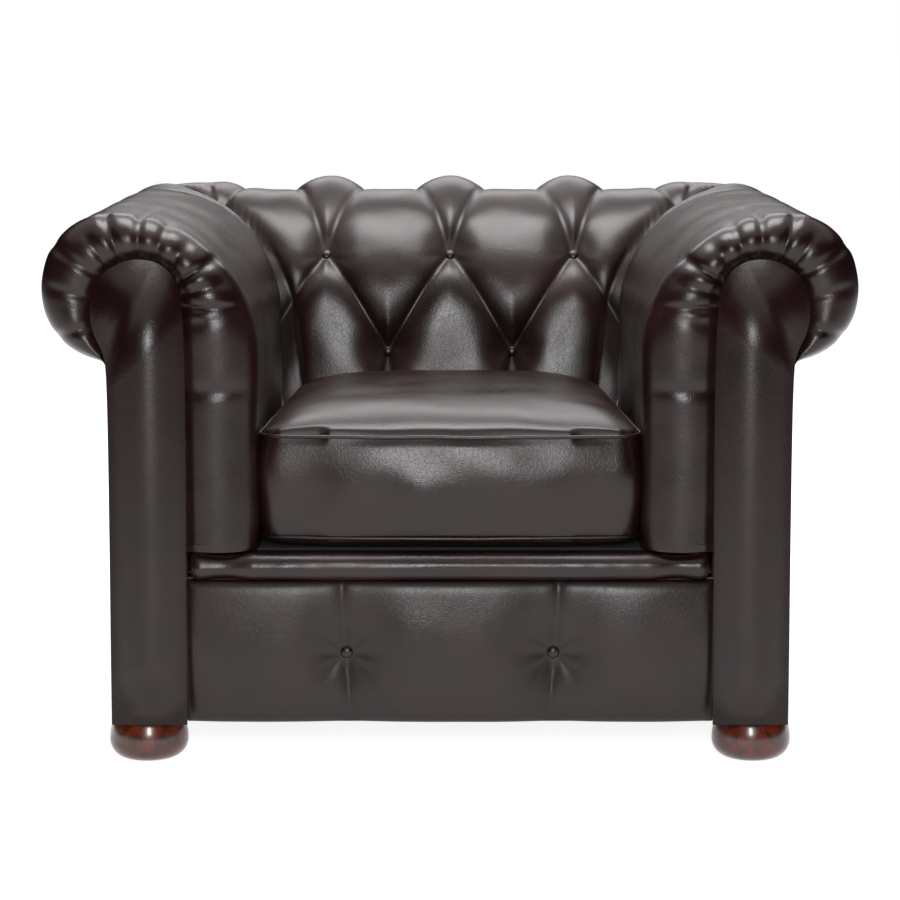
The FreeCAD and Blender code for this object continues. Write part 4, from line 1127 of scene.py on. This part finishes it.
# %% Stuffing
def stuffing(name, node, body, slot, size, passes, slack):
    """A softened copy of a plain solid, slack metres smaller all round."""
    bm = bmesh_of(nodes[node].data)
    bmesh.ops.remove_doubles(bm, verts=bm.verts, dist=2e-5)
    made = even_mesh(name, bm, size)
    bm = bmesh_of(made.data)
    bpy.data.objects.remove(made)
    for _ in range(passes):
        bmesh.ops.smooth_vert(bm, verts=bm.verts, factor=0.5, use_axis_x=True, use_axis_y=True,
                              use_axis_z=True)
    bm.normal_update()
    for vert in bm.verts:
        vert.co -= vert.normal * slack
    piece(name, bm, body, slot, node)


for name, node, slot, size in (("back_pad_soft", "back_pad", "wadding", 0.010),
                               ("arm_pad_soft_right", "arm_pad_right", "wadding", 0.010),
                               ("arm_pad_soft_left", "arm_pad_left", "wadding", 0.010),
                               ("deck_pad_soft", "deck_pad", "wadding", 0.008)):
    stuffing(name, node, "chair", slot, size, 2, 0.006)
stuffing("cushion_foam", "cushion_core", "seat_cushion", "foam", 0.009, 3, 0.015)

# %% [markdown]
# Whatever the model already has right keeps its own mesh: the hardwood frame, springs, straps,
# screws, feet and zip. The model names each mesh's material after its slot, and the slot's finish
# takes that material's place.

# %% Finishes of the model's own pieces
without = []
for name, node in nodes.items():
    names = {m.name.split(".")[0] for m in node.data.materials if m}
    slot = next((s for s in FINISHES if s in names), None)
    if slot is None:
        without.append(name)
        continue
    node.data.materials.clear()
    node.data.materials.append(FINISHES[slot])
print("nodes without a finish:", without)

# %% [markdown]
# The studio is plain: a white floor that keeps the chair's shadow, a white background for the
# camera and for reflections, and large soft lamps above and in front.

# %% Floor and background
FLOOR_GLOW = 0.85
AMBIENT = 0.25


def light_path_mask(tree):
    """1 for rays from the camera, from gloss and through glass."""
    path = tree.nodes.new("ShaderNodeLightPath")
    total = path.outputs["Is Camera Ray"]
    for label in ("Is Glossy Ray", "Is Transmission Ray"):
        total = summed(tree, total, path.outputs[label], "MAXIMUM")
    return total


def studio_floor():
    bm = bmesh.new()
    bmesh.ops.create_grid(bm, x_segments=8, y_segments=8, size=12.0)
    floor = placed("studio_floor", mesh_of("studio_floor", bm))
    material, surface = plain("white_floor", Base_Color=(0.8, 0.8, 0.8, 1), Roughness=0.9,
                              Specular_IOR_Level=0.0, Emission_Color=(1, 1, 1, 1))
    tree = material.node_tree
    glow = scaled(tree, light_path_mask(tree), FLOOR_GLOW)
    tree.links.new(glow, surface.inputs["Emission Strength"])
    floor.data.materials.append(material)


world = bpy.data.worlds.new("white_studio")
bpy.context.scene.world = world
world.use_nodes = True
sky = world.node_tree.nodes["Background"]
sky.inputs["Color"].default_value = (1, 1, 1, 1)
level = ranged(world.node_tree, light_path_mask(world.node_tree), To_Min=AMBIENT)
world.node_tree.links.new(level, sky.inputs["Strength"])
studio_floor()
print("floor glow:", FLOOR_GLOW, "ambient light:", AMBIENT)

# %% [markdown]
# Dark leather shows whatever stands round it. Studios hang black flags round the set, so that the
# sides of each round form stay dark and only the lamps draw bright bars. The flag here is a wide
# ring of black cloth that only reflections see.

# %% Black flag
def black_flag(radius=5.4, height=4.6):
    bm = bmesh.new()
    foot = Vector((0, -radius, 0))
    low, high = bm.verts.new(foot), bm.verts.new(foot + UP * height)
    edge = bm.edges.new((low, high))
    bmesh.ops.spin(bm, geom=[low, high, edge], cent=(0, 0, 0), axis=(0, 0, 1), angle=2 * math.pi,
                   steps=48, use_merge=True)
    flag = placed("black_flag", mesh_of("black_flag", bm))
    cloth, _ = plain("flag_cloth", Base_Color=(0.01, 0.01, 0.01, 1), Specular_IOR_Level=0.0)
    flag.data.materials.append(cloth)
    flag.visible_camera = flag.visible_diffuse = False
    flag.visible_shadow = flag.visible_transmission = False
    print("black flag:", len(flag.data.polygons), "faces")


black_flag()

# %% [markdown]
# Three soft lamps draw the bars of light: one overhead, a tall narrow one in front, and a weak one
# behind. The camera stands where the photographer stood, a little above the chair's crest.

# %% Lamps and camera
def softbox(name, place, aim, size, watts):
    lamp = bpy.data.lights.new(name, "AREA")
    lamp.shape, lamp.size, lamp.size_y, lamp.energy = "RECTANGLE", size[0], size[1], watts
    holder = placed(name, lamp)
    holder.location = place
    holder.rotation_euler = (Vector(aim) - Vector(place)).to_track_quat("-Z", "Y").to_euler()


softbox("overhead", (0.0, 0.0, 2.6), (0.0, 0.0, 0.4), (1.6, 1.3), 78)
softbox("front", (0.0, -4.2, 1.45), (0.0, 0.0, 0.45), (0.62, 1.25), 100)
softbox("behind", (0.0, 3.2, 2.4), (0.0, 0.0, 0.6), (2.6, 1.4), 30)

lens = bpy.data.cameras.new("camera")
lens.lens = 110.96
lens.sensor_width = 36.0
camera = placed("camera", lens)
CAMERA_TILT = 8.45
camera.location = (0.0, -3.95, 0.937)
camera.rotation_euler = (math.radians(90 - CAMERA_TILT), 0, 0)
bpy.context.scene.camera = camera
bpy.context.scene.view_settings.view_transform = "Standard"
print("camera at:", *(round(c, 3) for c in camera.location), "tilted down", CAMERA_TILT)
